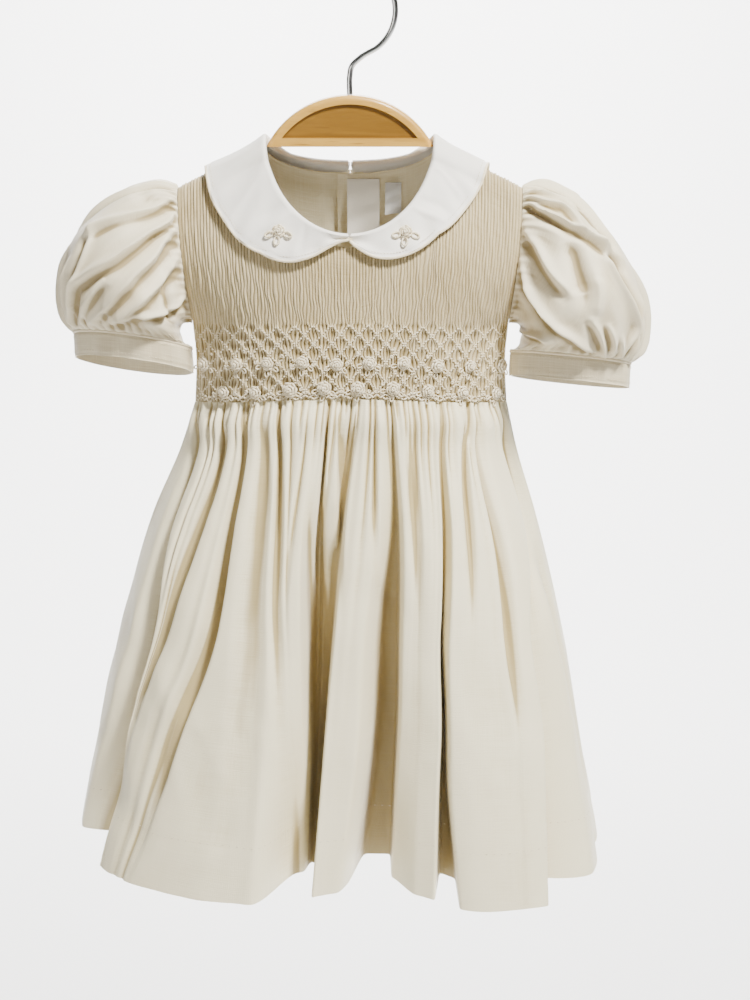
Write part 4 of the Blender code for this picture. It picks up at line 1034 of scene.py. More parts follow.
def build_roses():
    """Two rows of roses with leaves, and small knots beside and between them."""
    chance = np.random.default_rng(8)
    shares, steps = [], []
    stray, drop = ROSE_STRAY
    for row_step, first, last, count, _ in ROSE_ROWS:
        shares += list(np.linspace(first, last, count) + chance.uniform(-stray, stray, count))
        steps += list(row_step + chance.uniform(-drop, drop, count))
    shares, steps = np.clip(shares, -0.962, 0.962), np.array(steps)
    count = len(shares)
    places, normals = front_spot(shares, steps, PLEAT_RISE - 0.0002)
    along = turned_along(shares, steps, chance.uniform(0.0, 360.0, count))
    parts = [copies(rose_shape(), places, along, normals, chance.uniform(*ROSE_SIZES, (count, 1)))]
    for turn, reach in ROSE_LEAVES:
        leaf_share = np.clip(shares + reach * np.cos(np.radians(turn)), -0.985, 0.985)
        leaf_step = np.minimum(steps - reach * STEPS_ACROSS * np.sin(np.radians(turn)), 7.9)
        places, normals = front_spot(leaf_share, leaf_step, PLEAT_RISE)
        along = turned_along(shares, leaf_step, turn + chance.uniform(-LEAF_SWING, LEAF_SWING, count))
        parts.append(copies(loop_shape(), places, along, normals, LEAF_SIZE))
    knots = []
    for row_step, _, _, _, offsets in ROSE_ROWS:
        for share, step in zip(shares, steps):
            if abs(step - row_step) < 0.5:
                for offset in offsets:
                    knots.append((share + offset + chance.uniform(-0.01, 0.01), step + chance.uniform(-1.1, 0.3)))
    knots = np.array([knot for knot in knots + LONE_KNOTS if abs(knot[0]) < 0.97])
    places, normals = front_spot(*knots.T, PLEAT_RISE)
    along = turned_along(*knots.T, chance.uniform(0.0, 360.0, len(knots)))
    parts.append(copies(ring_knot_shape(), places, along, normals, chance.uniform(*KNOT_SIZES, (len(knots), 1))))
    sew("bullion_roses", parts)


def build_cable():
    """Two wavy rows of slanting cable stitches along the smocking's lower edge."""
    row, number = np.divmod(np.arange(2 * PLEATS), PLEATS)
    shares = (number + 0.5) / PLEATS * 2.0 - 1.0
    steps = np.array(CABLE_ROWS)[row] + CABLE_WAVE * np.cos(diamond_turn(shares))
    ways = np.where((number + row) % 2, 1.0, -1.0)
    shares, steps, ways = (values[np.abs(shares) <= 0.99] for values in (shares, steps, ways))
    places, normals = front_spot(shares, steps, PLEAT_RISE + 0.0003)
    along = turned_along(shares, steps, ways * CABLE_SLANT)
    sew("smocking_cable_stitches", [copies(seed_shape(), places, along, normals, np.array(CABLE_SIZE))])


# ---- skirt


def envelope(across, down, panel):
    """The outer envelope of the skirt's folds. across runs -1 to 1 over a panel."""
    side = np.where(across < 0, read(SKIRT, "left", down), read(SKIRT, "right", down))
    deep = read(SKIRT, panel, down)
    if panel == "front":
        square = np.where(across < 0, read(SKIRT, "square_left", down), read(SKIRT, "square_right", down))
    else:
        square = 2.2 + 0.0 * across
    sine, cosine = np.sin(across * math.pi / 2), np.maximum(0.0, np.cos(across * math.pi / 2))
    reach = (np.abs(sine) ** square + cosine**square) ** (-1.0 / square)
    share = read(SKIRT, "round", down)
    x = mix(side * across, side * sine * reach, share)
    y = mix(deep * (1.0 - np.abs(across) ** LENS_POWER), deep * cosine * reach, share)
    y = (-y if panel == "front" else y) + read(SKIRT, "aft", down) * np.maximum(0.0, -across) ** 3
    turn = np.radians(read(SKIRT, "turn", down))
    top = waist_z(across, panel) - SEAM / 2
    return joined(x * np.cos(turn) + y * np.sin(turn), y * np.cos(turn) - x * np.sin(turn), mix(top, HEM_Z, down))


def envelope_normal(across, down, panel):
    step = 0.004
    ahead, behind = np.minimum(across + step, 1.0), np.maximum(across - step, -1.0)
    along = envelope(ahead, down, panel) - envelope(behind, down, panel)
    way = 1.0 if panel == "front" else -1.0
    return unit(joined(along[..., 1] * way, -along[..., 0] * way, 0.0))


def panel_troughs(left, right, deep, soft, main):
    """One panel's troughs, whose left, right and deep have a row for each height in TROUGH_DOWNS."""
    deep = np.concatenate((np.minimum(WAIST_DEPTH, deep[:1] / 4), deep))
    return {"left": left, "right": right, "deep": deep, "soft": soft, "main": main}


def front_troughs():
    *measures, main = zip(*FRONT_TROUGHS)
    return panel_troughs(*(np.array(rows, float).T / 1000 for rows in measures), np.array(main) > 0)


def back_troughs():
    """The back's valleys as troughs, whose edges lie most of a half-width to each side of their middles."""
    v = BACK_VALLEYS
    waist, middle, hem, half, half_hem = v["waist"], v["middle"], v["hem"], v["half_middle"], v["half_hem"]
    middles = np.array((waist, mix(waist, middle, 0.45), middle, mix(middle, hem, 0.5), hem))
    halves = np.array((half * 0.75, half * 0.85, half * 1.0, mix(half, half_hem, 0.5), half_hem))
    deep = np.array((v["upper"], v["centre"], mix(v["centre"], v["lower"], 0.5), v["lower"]))
    soft = np.array((v["soft_left"], v["soft_right"]))
    return panel_troughs(middles - 0.75 * halves, middles + 0.75 * halves, deep, soft, v["centre"] > 0.01)


TROUGHS = {"front": front_troughs(), "back": back_troughs()}


def at_heights(values, down):
    """One of the troughs' measures at each height, with one row for a height."""
    return np.array([through(TROUGH_DOWNS, column, down) for column in values.T]).T


def slope_in(away, width):
    """0 before a soft edge of this width and 1 after it."""
    return smooth(away / width + 0.5)


def fold_depth(panel, place, down, length):
    """How far the cloth lies inside the envelope, from the troughs between its folds."""
    troughs = TROUGHS[panel]
    left, right, deep = (at_heights(troughs[name], down) for name in ("left", "right", "deep"))
    total = np.zeros((len(down), len(place)))
    opened = 0.35 + 0.65 * smooth(down / 0.3)[:, None]
    for i, (soft_left, soft_right) in enumerate(troughs["soft"].T):
        start = (place[None] - left[:, i, None]) * length[:, None]
        end = (right[:, i, None] - place[None]) * length[:, None]
        shape = slope_in(start, soft_left * opened) * slope_in(end, soft_right * opened)
        total += np.maximum(0.0, deep[:, i, None]) * shape
    if panel == "front":
        away = (place - HOLLOW_PLACE) / HOLLOW_HALF
        total += HOLLOW_DEPTH * (down**1.5)[:, None] * np.exp(-(away**4))[None]
    return total


LEAST_APART = 0.0035


def main_edges(panel, down):
    """The places of the main folds at each height, in rising order, with the panel's ends."""
    troughs = TROUGHS[panel]
    sides = [at_heights(troughs[name][:, troughs["main"]], down) for name in ("left", "right")]
    both = np.stack(sides, axis=-1).reshape(len(down), -1)
    for i in range(1, both.shape[1]):
        both[:, i] = np.maximum(both[:, i], both[:, i - 1] + LEAST_APART)
    ends = np.zeros((len(down), 1))
    return np.concatenate((ends, both, ends + 1.0), axis=1)


def gather_depth(panel, place, down):
    """The small gathers under the seam, which run into the folds below them."""
    count, deepest, least, most = SKIRT_GATHERS[panel]
    chance = np.random.default_rng(21 if panel == "front" else 22)
    middles = (np.arange(count) + 0.5 + chance.uniform(-GATHER_STRAY, GATHER_STRAY, count)) / count
    depths = deepest * chance.uniform(*GATHER_DEPTHS, count)
    lengths = chance.uniform(least, most, count) * chance.choice(GATHER_LENGTHS, count)
    widths = chance.uniform(*GATHER_WIDTHS, count) / count
    made = np.zeros((len(down), len(place)))
    edges = main_edges(panel, down)
    for r in range(len(down)):
        at_waist = np.interp(place, edges[r], edges[0])
        away = (at_waist[:, None] - middles[None]) / widths
        start = min(1.0, 0.45 + down[r] / 0.02)
        fade = start * np.exp(-((down[r] / lengths) ** 1.6))
        made[r] = (depths * fade * np.exp(-np.abs(away) ** 1.8)).sum(axis=1)
    return made


def crease_rise(creases, u, v):
    """Soft ridges and troughs laid over a surface. u and v are metres across and down it."""
    made = np.zeros_like(u)
    for row in creases:
        start_u, start_v, end_u, end_v, bow, rise, half = (value / 1000 for value in row)
        run = np.array((end_u - start_u, end_v - start_v))
        length = math.hypot(*run)
        run = run / length
        along = np.clip(((u - start_u) * run[0] + (v - start_v) * run[1]) / length, 0.0, 1.0)
        aside = (u - start_u) * -run[1] + (v - start_v) * run[0]
        taper = 4.0 * along * (1.0 - along)
        made += rise * taper**0.6 * np.exp(-(((aside - bow * taper) / half) ** 2))
    return made


# Each crease of the skirt in millimetres: from where to where, across from the panel's middle and down
# from the waist, then its bow, its rise and its half-width.
SKIRT_CREASES = {
    "front": (
        (-175, 205, -120, 270, 4, -3.0, 16),
        (-120, 150, -98, 235, -4, 1.6, 9),
        (-85, 190, -70, 262, 4, -2.0, 14),
        (-150, 120, -128, 190, 3, 1.2, 8),
        (18, 105, 40, 128, 2, -1.2, 6),
        (150, 95, 170, 118, 2, -1.4, 8),
        (160, 140, 196, 196, 6, -1.4, 13),
        (112, 188, 150, 255, -8, 1.1, 12),
        (182, 60, 190, 100, 0, -1.2, 6),
        (-30, 180, -18, 262, 2, 0.9, 6),
    ),
    "back": (
        (-150, 180, -105, 255, 6, -2.2, 15),
        (-60, 120, -45, 190, -4, 1.2, 9),
        (40, 150, 66, 240, 5, -1.8, 13),
        (120, 90, 140, 170, 3, 1.2, 8),
        (150, 190, 185, 250, -4, -2.0, 14),
    ),
}

HEM_ROWS = 11  # rows between the hem and its stitches
FOLD_ROUNDING = 0.0011  # how far a fold's corner is rounded along the cloth, as a standard deviation
PUFF, PUFF_DOWN, PUFF_HALF = 0.0032, 0.040, 0.035  # how the cloth swells out just under the seam
RIPPLE, FINE_RIPPLE = 0.0007, 0.00016
SEAM_FLAT = 0.018  # the share of a panel beside a side seam where its folds die out
HEM_STITCHES = (0.0048, 0.36, 0.0005)
SAMPLES = 3200


def rounded(points, spread):
    """A row of points with its corners rounded, sampled evenly along it. Its ends stay in place."""
    path = run_along(points)
    even = np.linspace(0.0, path[-1], len(points))
    line = np.stack([np.interp(even, path, points[:, k]) for k in range(3)], axis=1)
    step = even[1]
    reach = int(math.ceil(3.0 * spread / step))
    kernel = np.exp(-0.5 * (np.arange(-reach, reach + 1) * step / spread) ** 2)
    kernel = kernel / kernel.sum()
    before = 2 * line[0] - line[reach:0:-1]
    after = 2 * line[-1] - line[-2 : -reach - 2 : -1]
    wide = np.concatenate((before, line, after))
    line = np.stack([np.convolve(wide[:, k], kernel, "valid") for k in range(3)], axis=1)
    return line, path / path[-1]


def skirt_grid(panel, columns, rows):
    place = np.linspace(0.0, 1.0, SAMPLES)
    down = np.linspace(0.0, 1.0, rows) ** 1.25
    across, down_grid = np.meshgrid(2.0 * place - 1.0, down)
    outside = envelope(across, down_grid, panel)
    outwards = envelope_normal(across, down_grid, panel)
    edge = smooth(np.minimum(place, 1.0 - place) / SEAM_FLAT)[None]
    run = lengths_along(outside, 1)
    inwards = fold_depth(panel, place, down, run[:, -1]) + gather_depth(panel, place, down)
    u = run - run[:, -1:] / 2.0
    v = down_grid * (SIDE_WAIST_Z - HEM_Z)
    ripple = np.sin(u * 95.0 + 3.0 * np.sin(v * 21.0)) * np.sin(v * 34.0 + 2.0 * np.sin(u * 17.0))
    fine = np.sin(u * 260.0 + 4.0 * np.sin(v * 47.0)) * np.sin(v * 75.0 + 3.0 * np.sin(u * 39.0))
    soft = RIPPLE * ripple + FINE_RIPPLE * fine
    inwards = inwards - crease_rise(SKIRT_CREASES[panel], u, v) + soft * smooth(down_grid / 0.3)
    swell = PUFF * np.exp(-(((down_grid - PUFF_DOWN) / PUFF_HALF) ** 2))
    full = outside - ((inwards - swell) * edge)[..., None] * outwards
    knots = main_edges(panel, down)
    lines, cuts = [], []
    for r in range(rows):
        line, path = rounded(full[r], FOLD_ROUNDING * (0.5 + 0.5 * min(1.0, down[r] / 0.2)))
        lines.append(line)
        cuts.append(np.interp(knots[r], place, path))
    cuts = np.array(cuts)
    parts = np.diff(cuts, axis=1).mean(axis=0)
    counts = np.maximum(4, np.round(parts * columns).astype(int))
    even = np.linspace(0.0, 1.0, SAMPLES)
    grid = []
    for line, ends in zip(lines, cuts):
        spans = [np.linspace(a, b, n, endpoint=False) for a, b, n in zip(ends, ends[1:], counts)]
        at = np.concatenate(spans + [[1.0]])
        grid.append(np.stack([np.interp(at, even, line[:, k]) for k in range(3)], axis=1))
    return np.array(grid)


def build_skirt(panel, columns=600, rows=120):
    outer = skirt_grid(panel, columns, rows)
    normals = grid_normals(outer, np.array((0.0, -1.0 if panel == "front" else 1.0, 0.0)))
    # The skirt's folds give its painted shade and highlight, a quarter stronger than their measure.
    hollow = np.clip(1.25 * hollows(outer, normals), -1.0, 1.0)
    inner = outer - CLOTH * normals
    name = f"{panel}_skirt"
    add_cloth(f"{name}_cloth", name, "ivory_cotton", IVORY, outer, inner, False, 4, hollow=hollow)
    hem = len(outer) - 1 - HEM_ROWS
    sew(f"{panel}_hem_stitches", [stitch_line(outer[hem] + 0.0001 * normals[hem], normals[hem], *HEM_STITCHES)])


# ---- sleeves


def armhole_edge(angle, side):
    middle, half = (SHOULDER_Z + UNDERARM_Z) / 2, (SHOULDER_Z - UNDERARM_Z) / 2
    z = middle + half * np.cos(angle)
    x = read(BODY, "cut", z)
    depth = np.where(np.sin(angle) >= 0, -body_depth(x, z, "front"), body_depth(x, z, "back"))
    return joined(side * (x + 0.0002), depth, z)


def cuff_line(angle, s):
    across, fore = np.cos(angle), np.sin(angle)
    x = s["side"] * (s["x"] + s["half"] * across)
    return joined(x, s["y"] - s["deep"] * fore, s["z"] + s["outer"] * (across + 1) / 2 + s["lift"] * fore / 2)


def puff(angle, t, s):
    """The sleeve's plain puff, from the armhole (0) to the cuff (1)."""
    start = armhole_edge(angle, s["side"])
    end = cuff_line(angle, s) + np.array((0.0, 0.0, PIPING_RADIUS))
    outwards, level = (1 + np.cos(angle)) / 2, np.sin(angle)
    depth = level * np.where(level >= 0, s["fore"], s["aft"])
    leave = joined(s["side"] * mix(UNDERARM_SWELL, s["out"], outwards), -depth, s["up"] * outwards)
    tucked, dropped = mix(UNDERARM_SWELL, s["tuck"], outwards), mix(UNDERARM_DROP, s["drop"], outwards)
    meet = joined(-s["side"] * tucked, depth, -dropped)
    t = t[..., None]
    begin = start * (2 * t**3 - 3 * t**2 + 1) + leave * (t**3 - 2 * t**2 + t)
    return begin + end * (3 * t**2 - 2 * t**3) + meet * (t**3 - t**2)


# Each crease: its rise and half-width, how much of a trough lies beside it (below zero for one on its
# other side), and the places it runs through: degrees round the sleeve from its top over the front,
# and hundredths of the way from the armhole to the cuff.
LEFT_CREASES = (
    (2.6, 3.2, 0.8, (33, 2), (47, 16), (45, 33), (35, 48), (30, 56)),
    (4.2, 3.0, 1.0, (49, 2), (61, 10), (68, 22), (72, 36), (70, 52), (58, 69), (45, 78), (38, 87), (24, 97)),
    (4.0, 3.4, 1.0, (64, 2), (76, 13), (87, 26), (91, 42), (91, 58), (84, 76), (70, 89), (50, 98)),
    (3.6, 3.6, 0.9, (88, 3), (101, 16), (108, 32), (109, 48), (106, 64), (95, 82), (76, 94), (60, 99)),
    (2.4, 2.4, 0.7, (73, 66), (66, 78), (58, 86), (48, 93), (38, 99)),
    (2.4, 3.4, -0.8, (34, 50), (43, 56), (48, 64), (48, 76), (42, 86)),
    (-1.6, 6.0, 0.0, (22, 20), (30, 20), (38, 15)),
    (-2.4, 4.5, 0.0, (105, 16), (126, 27), (143, 41)),
    (3.0, 3.0, 0.8, (124, 4), (132, 20), (130, 45), (116, 70), (94, 90)),
    (1.8, 2.4, 0.6, (10, 2), (14, 20), (8, 40), (2, 55)),
    (2.2, 2.6, 0.7, (24, 99), (22, 85), (28, 70)),
    (2.4, 2.6, 0.8, (6, 99), (2, 84), (8, 66)),
    (2.0, 3.2, -0.7, (-20, 3), (-26, 22), (-18, 48), (-10, 66)),
    (3.4, 3.4, 0.9, (-48, 2), (-62, 18), (-72, 40), (-66, 66), (-46, 90)),
    (3.2, 3.2, -0.8, (-86, 4), (-98, 24), (-100, 50), (-84, 78), (-62, 97)),
    (2.6, 3.0, 0.8, (-128, 5), (-134, 30), (-122, 60), (-100, 90)),
    (2.4, 2.6, 0.7, (-30, 99), (-28, 82), (-36, 66)),
)
RIGHT_CREASES = (
    (2.6, 2.8, 0.8, (29, 3), (35, 13), (32, 22), (36, 29), (44, 35)),
    (3.8, 2.8, 1.0, (36, 2), (45, 12), (47, 24), (43, 34), (36, 46), (28, 53)),
    (3.0, 3.4, 0.8, (-5, 3), (-4, 14), (-2, 26), (12, 36), (20, 44), (22, 50)),
    (4.0, 3.4, -1.0, (34, 40), (45, 50), (48, 60), (43, 72), (38, 82), (45, 90), (45, 99)),
    (2.8, 3.4, 0.8, (65, 2), (75, 10), (87, 22), (92, 33), (92, 46)),
    (4.2, 3.2, 1.0, (91, 2), (108, 11), (119, 26), (122, 46), (115, 67), (98, 84), (76, 95), (60, 99)),
    (-3.6, 7.0, 0.0, (60, 30), (74, 40), (84, 52)),
    (2.6, 4.5, 0.6, (66, 50), (72, 58), (82, 68)),
    (3.0, 2.4, 0.8, (86, 70), (76, 86), (62, 99)),
    (2.8, 2.2, 0.8, (71, 78), (62, 90), (52, 99)),
    (2.4, 2.2, 0.7, (57, 86), (50, 94), (44, 99)),
    (2.4, 3.2, 0.7, (176, 36), (160, 50), (140, 66), (126, 84)),
    (2.0, 2.6, 0.6, (18, 2), (22, 14), (16, 30)),
    (2.2, 2.6, 0.7, (26, 99), (30, 86), (24, 68)),
    (2.2, 2.8, -0.7, (4, 99), (-2, 84), (6, 62)),
    (2.2, 3.2, 0.7, (-24, 3), (-30, 22), (-20, 50), (-12, 70)),
    (3.4, 3.4, -0.9, (-50, 2), (-66, 20), (-74, 42), (-64, 68), (-44, 92)),
    (3.2, 3.2, 0.8, (-88, 4), (-102, 26), (-102, 52), (-86, 80), (-64, 97)),
    (2.6, 3.0, 0.8, (-130, 5), (-136, 32), (-122, 62), (-98, 92)),
    (2.4, 2.6, 0.7, (-28, 99), (-32, 82), (-24, 64)),
)
CREASE_RISE = 0.00125  # metres to 1 of a crease's rise
CREASE_HALF = 0.001  # metres to 1 of its half-width
# A trough beside a ridge: how deep, how far off, and how wide, as shares of the ridge.
TROUGH_DEEP, TROUGH_OFF, TROUGH_WIDE = 0.62, 2.0, 1.15
ROUND_SCALE = 0.00085  # metres of sleeve to a degree, about
LONG_SCALE = 0.130  # metres of sleeve from armhole to cuff, about


def crease_path(places, count=64):
    """A smooth run of points through a crease's places, in metres round and along the sleeve."""
    turns, parts = np.array(places, float).T
    knots, at = np.arange(len(turns)), np.linspace(0.0, len(turns) - 1.0, count)
    round_it, along = through(knots, turns, at) * ROUND_SCALE, through(knots, parts / 100, at) * LONG_SCALE
    return np.stack((round_it, along), axis=1)


def crease_profile(across, beside, sharp):
    """A crease's height across its run: a ridge, thin at its top where it is sharp, and its trough."""
    crest = np.exp(-1.15 * (np.sqrt(across**2 + 0.03) - 0.17) ** 1.25) if sharp else np.exp(-(across**2))
    off = (across * np.copysign(1.0, beside) - TROUGH_OFF) / TROUGH_WIDE
    return crest - TROUGH_DEEP * abs(beside) * np.exp(-(off**2))


def sleeve_creases(side, degrees, t):
    """The height of one sleeve's creases, which swell and fade along their run."""
    made = np.zeros_like(t)
    for rise, half, beside, *places in LEFT_CREASES if side < 0 else RIGHT_CREASES:
        path = crease_path(places)
        along = unit(np.gradient(path, axis=0))
        share = np.linspace(0.0, 1.0, len(path))
        middle = np.median(path[:, 0]) / ROUND_SCALE
        lap = (degrees - middle + 180.0) % 360.0 - 180.0 + middle
        gap = np.stack((lap * ROUND_SCALE, t * LONG_SCALE), axis=-1)[..., None, :] - path
        near = np.argmin(np.linalg.norm(gap, axis=-1), axis=-1)
        offset = np.take_along_axis(gap, near[..., None, None], axis=2)[..., 0, :]
        aside = offset[..., 0] * along[near, 1] - offset[..., 1] * along[near, 0]
        ahead = np.sum(offset * along[near], axis=-1)
        step = np.linalg.norm(path[1] - path[0])
        at_end = (near == 0) | (near == len(path) - 1)
        past = np.where(at_end, np.maximum(np.abs(ahead) - step, 0.0), 0.0)
        width = half * CREASE_HALF
        height = crease_profile(aside / width, beside, rise > 0) * np.exp(-((past / width) ** 2))
        at = np.clip(share[near] + ahead / (step * len(path)), 0.0, 1.0)
        swell = np.clip(4.5 * (at + 0.06) * (1.06 - at), 0.0, 1.0) ** 0.8
        made = made + rise * CREASE_RISE * swell * height
    return made


# The small gathers at a sleeve's armhole, and at its cuff: how many, how deep, and whether at the cuff.
SLEEVE_ENDS = ((48, 0.0019, False), (40, 0.0022, True))
SLEEVE_SINK = 0.0012  # how far the sleeve's cloth is drawn in under its creases
SLEEVE_RIPPLE = 0.0005
GATHER_HEIGHTS, GATHER_REACHES = (0.4, 1.2), (0.06, 0.20)
GATHER_HALF = 1.1 * math.pi * 0.55  # a gather's half-width in radians, times how many there are


def sleeve_gathers(angle, t, side):
    """Small gathers at the armhole and at the cuff, each with its own length."""
    chance = np.random.default_rng(31 if side < 0 else 32)
    made = np.zeros_like(t)
    for count, deep, at_cuff in SLEEVE_ENDS:
        middles = (np.arange(count) + chance.uniform(-0.25, 0.25, count)) * 2 * math.pi / count
        heights = deep * chance.uniform(*GATHER_HEIGHTS, count)
        lengths = chance.uniform(*GATHER_REACHES, count)
        for middle, height, length in zip(middles, heights, lengths):
            away = (angle - middle + math.pi) % (2 * math.pi) - math.pi
            end = 1.0 - t if at_cuff else t
            top = 0.35 + 0.65 * (1 + math.cos(middle)) / 2
            shape = np.exp(-((away * count / GATHER_HALF) ** 2))
            made = made + height * top * shape * np.exp(-((end / length) ** 1.5)) * np.clip(0.3 + end / 0.03, 0, 1)
    return made


def sleeve_grid(s, around=360, rows=112):
    angle, t = np.meshgrid(np.arange(around) * 2 * math.pi / around, np.linspace(0.0, 1.0, rows))
    plain = puff(angle, t, s)
    normals = grid_normals(plain, None, True)
    ends = np.clip(np.minimum(t, 1.0 - t) / 0.05, 0.0, 1.0)
    top = 0.35 + 0.65 * (1 + np.cos(angle)) / 2
    near = np.exp(-((t / 0.30) ** 2)) + np.exp(-(((1 - t) / 0.28) ** 2))
    large = GATHER_RISE * top * (0.25 + 0.75 * near) * ends * np.cos(SLEEVE_GATHERS * angle)
    ripple = np.sin(np.degrees(angle) * 0.11 + 5.0 * t) * np.sin(t * 17.0 + 2.0 * np.sin(angle * 2.0))
    loose = sleeve_creases(s["side"], np.degrees(angle), t) - SLEEVE_SINK + SLEEVE_RIPPLE * ripple
    rise = large + sleeve_gathers(angle, t, s["side"]) + loose * smooth(ends)
    return plain + rise[..., None] * normals


def sleeve_sizes():
    """The sizes of the left and the right sleeve, each with its name."""
    for row, hand in enumerate(("left", "right")):
        yield hand, {name: values[row] for name, values in SLEEVES.items()}


def build_sleeve(hand, s):
    outer = sleeve_grid(s)
    normals = grid_normals(outer, None, True)
    # The sleeve's folds, both round and along it, give its painted shade and highlight.
    inner, hollow = outer - CLOTH * normals, hollows(outer, normals, True, True)
    name = f"sleeve_{hand}"
    add_cloth(f"{name}_cloth", name, "ivory_cotton", SHADED_SLEEVE_COTTON, outer, inner, True, 3, 2, hollow=hollow)


def cuff_inwards(angle, s):
    step = 0.01
    ahead = cuff_line(angle + step, s) - cuff_line(angle - step, s)
    inwards = unit(joined(ahead[..., 1], -ahead[..., 0], 0.0))
    middle = (cuff_line(np.zeros(1), s) + cuff_line(np.full(1, math.pi), s)) / 2
    flip = np.sum(inwards * (middle - cuff_line(angle, s)), axis=-1) < 0
    return np.where(flip[..., None], -inwards, inwards)


# The cuff's heights down from its cord, and how far each is set in, in millimetres.
CUFF_SECTION = table(
    "down inset",
    ((0, 0.7), (0.6, 0.1), (2.2, 0), (5, 0), (8, 0), (11, 0), (13.2, 0.1), (14, 0.35), (14.8, 0), (15, 0.4)),
    1000,
)
CUFF_TOP = -PIPING_RADIUS * 0.6
CUFF_WALL = 0.0013


def build_cuff(hand, s):
    """A straight band under a covered cord, with a stitched hem."""
    angle = np.arange(160) * 2 * math.pi / 160
    line, inwards = cuff_line(angle, s), cuff_inwards(angle, s)
    down = CUFF_SECTION["down"][:, None]
    level = joined(0.0, 0.0, CUFF_TOP - down)
    wave = 0.00035 * np.sin(angle * 9.0 + 1.0) * smooth(down / 0.01)
    wave = wave + 0.0002 * np.sin(angle * 23.0) * smooth(down / 0.012)
    outer = line + (CUFF_SECTION["inset"][:, None] + wave)[..., None] * inwards + level
    inner = line + CUFF_WALL * inwards + level
    add_cloth(f"cuff_{hand}_cloth", f"cuff_{hand}", "ivory_cotton", SHADED_SLEEVE_COTTON, outer, inner, True)
    angle = np.arange(240) * 2 * math.pi / 240
    cord_line = cuff_line(angle, s) + (PIPING_RADIUS / 2) * cuff_inwards(angle, s)
    cord = add_cord(f"cuff_{hand}_cord", cord_line, PIPING_RADIUS, 10, True, PIPING)
    settle(cord, f"cuff_{hand}_piping", slot="piping_cord")


# ---- collar


def collar_width(part, side):
    return read(COLLARS, "left" if side < 0 else "right", part)


def collar_flat(part, across, side):
    """x of a point of the half-collar, and its path down from the shoulder line, negative in front."""
    width = collar_width(part, side)
    front = part <= FRONT_SHARE
    share = np.where(front, (FRONT_SHARE - part) / FRONT_SHARE, (part - FRONT_SHARE) / (1.0 - FRONT_SHARE))
    angle = math.pi / 2 * share
    drop = np.where(front, -FRONT_NECK_DROP, BACK_NECK_DROP)
    outwards = np.copysign(np.sin(angle), drop)
    x = NECK_HALF * np.cos(angle) + np.cos(angle) * width * across
    return x, drop * np.sin(angle) + outwards * width * across


def over_shoulder(x, path):
    """The body's surface where a path down from the shoulder line ends, and its normal."""
    distance, quarter = np.abs(path), ROLL * math.pi / 2
    way = np.where(path < 0, -1.0, 1.0)
    angle = np.minimum(distance / ROLL, math.pi / 2)
    slope = joined(0.0, way * np.sin(angle), np.cos(angle))
    turning = joined(x, 0.0, shoulder_line(x) - ROLL) + ROLL * slope
    z = shoulder_line(x) - ROLL - np.maximum(0.0, distance - quarter)
    in_front = (path < 0)[..., None]
    hanging = np.where(in_front, body_surface(x, z, "front"), body_surface(x, z, "back"))
    lean = np.where(in_front, body_normal(x, z, "front"), body_normal(x, z, "back"))
    settled = smooth((distance - quarter * 0.8) / (quarter * 0.9))[..., None]
    return np.where(distance[..., None] < quarter, turning, hanging), unit(mix(slope, lean, settled))


def collar_surface(part, across, lift, side):
    x, path = collar_flat(part, across, side)
    x = np.maximum(x, SEAM)
    place, normal = over_shoulder(x, path)
    stand = COLLAR_GAP + COLLAR_ROLL * (1.0 - np.clip(across, 0.0, 1.0)) ** 3 + COLLAR_EDGE_LIFT * across**2
    stand = stand + mix(WALL + SEAM, PLEAT_RISE, smooth((0.004 - path) / 0.008))
    return place + normal * (stand + lift)[..., None], normal


def collar_softness(part, across, side):
    """Slow waves and soft creases in the half-collar's cloth."""
    made = 0.0007 * np.sin(part * 43.0 + 2.0) * np.sin(across * 6.0) * across
    made = made + 0.0005 * np.sin(part * 71.0 + side + 4.0 * across) * across
    for rise, at, lean, half in COLLAR_CREASES:
        away = (part - at - side * 0.012 - lean * (across - 0.5)) / half
        made = made + rise * np.exp(-(away**2)) * np.sin(math.pi * across) ** 0.7
    return made


def mirrored(side):
    return np.array((side, 1.0, 1.0))


FOLD_REACH = 0.0022  # how far the collar's fold stands into the neck
GROOVE_DEPTH, GROOVE_AT, GROOVE_HALF = 0.00035, 0.955, 0.012  # the pressed line beside the piping


def collar_grid(side, parts=150, across_count=22, fold_count=7):
    """The half-collar from the fold at the neck to its edge, as its outer and inner face."""
    part = np.linspace(0.0, 1.0, parts)
    parts_grid, across_grid = np.meshgrid(part, np.linspace(0.0, 1.0, across_count))
    flat, _ = collar_surface(parts_grid, across_grid, 0.0, side)
    top, normal = collar_surface(parts_grid, across_grid, COLLAR_THICK, side)
    groove = GROOVE_DEPTH * np.exp(-(((across_grid - GROOVE_AT) / GROOVE_HALF) ** 2))
    top = top + (collar_softness(parts_grid, across_grid, side) - groove)[..., None] * normal
    x, path = collar_flat(part, np.zeros(parts), side)
    seam, lean = over_shoulder(np.maximum(x, SEAM), path)
    beyond, _ = over_shoulder(*collar_flat(part, np.full(parts, 0.12), side))
    inwards = unit(seam - beyond)
    height = np.linalg.norm(top[0] - seam, axis=-1)[:, None]
    turn = math.pi * np.linspace(1.0, 0.0, fold_count)[:-1, None, None]
    fold = seam + inwards * FOLD_REACH * np.sin(turn) + lean * height * (1 + np.cos(turn)) / 2
    spread = np.linspace(0.0, 1.0, fold_count - 1)[:, None, None]
    below = mix(seam[None], flat[0][None], spread) - 0.0002 * lean[None]
    outer, inner = np.concatenate((fold, top)), np.concatenate((below, flat))
    return outer * mirrored(side), inner * mirrored(side)


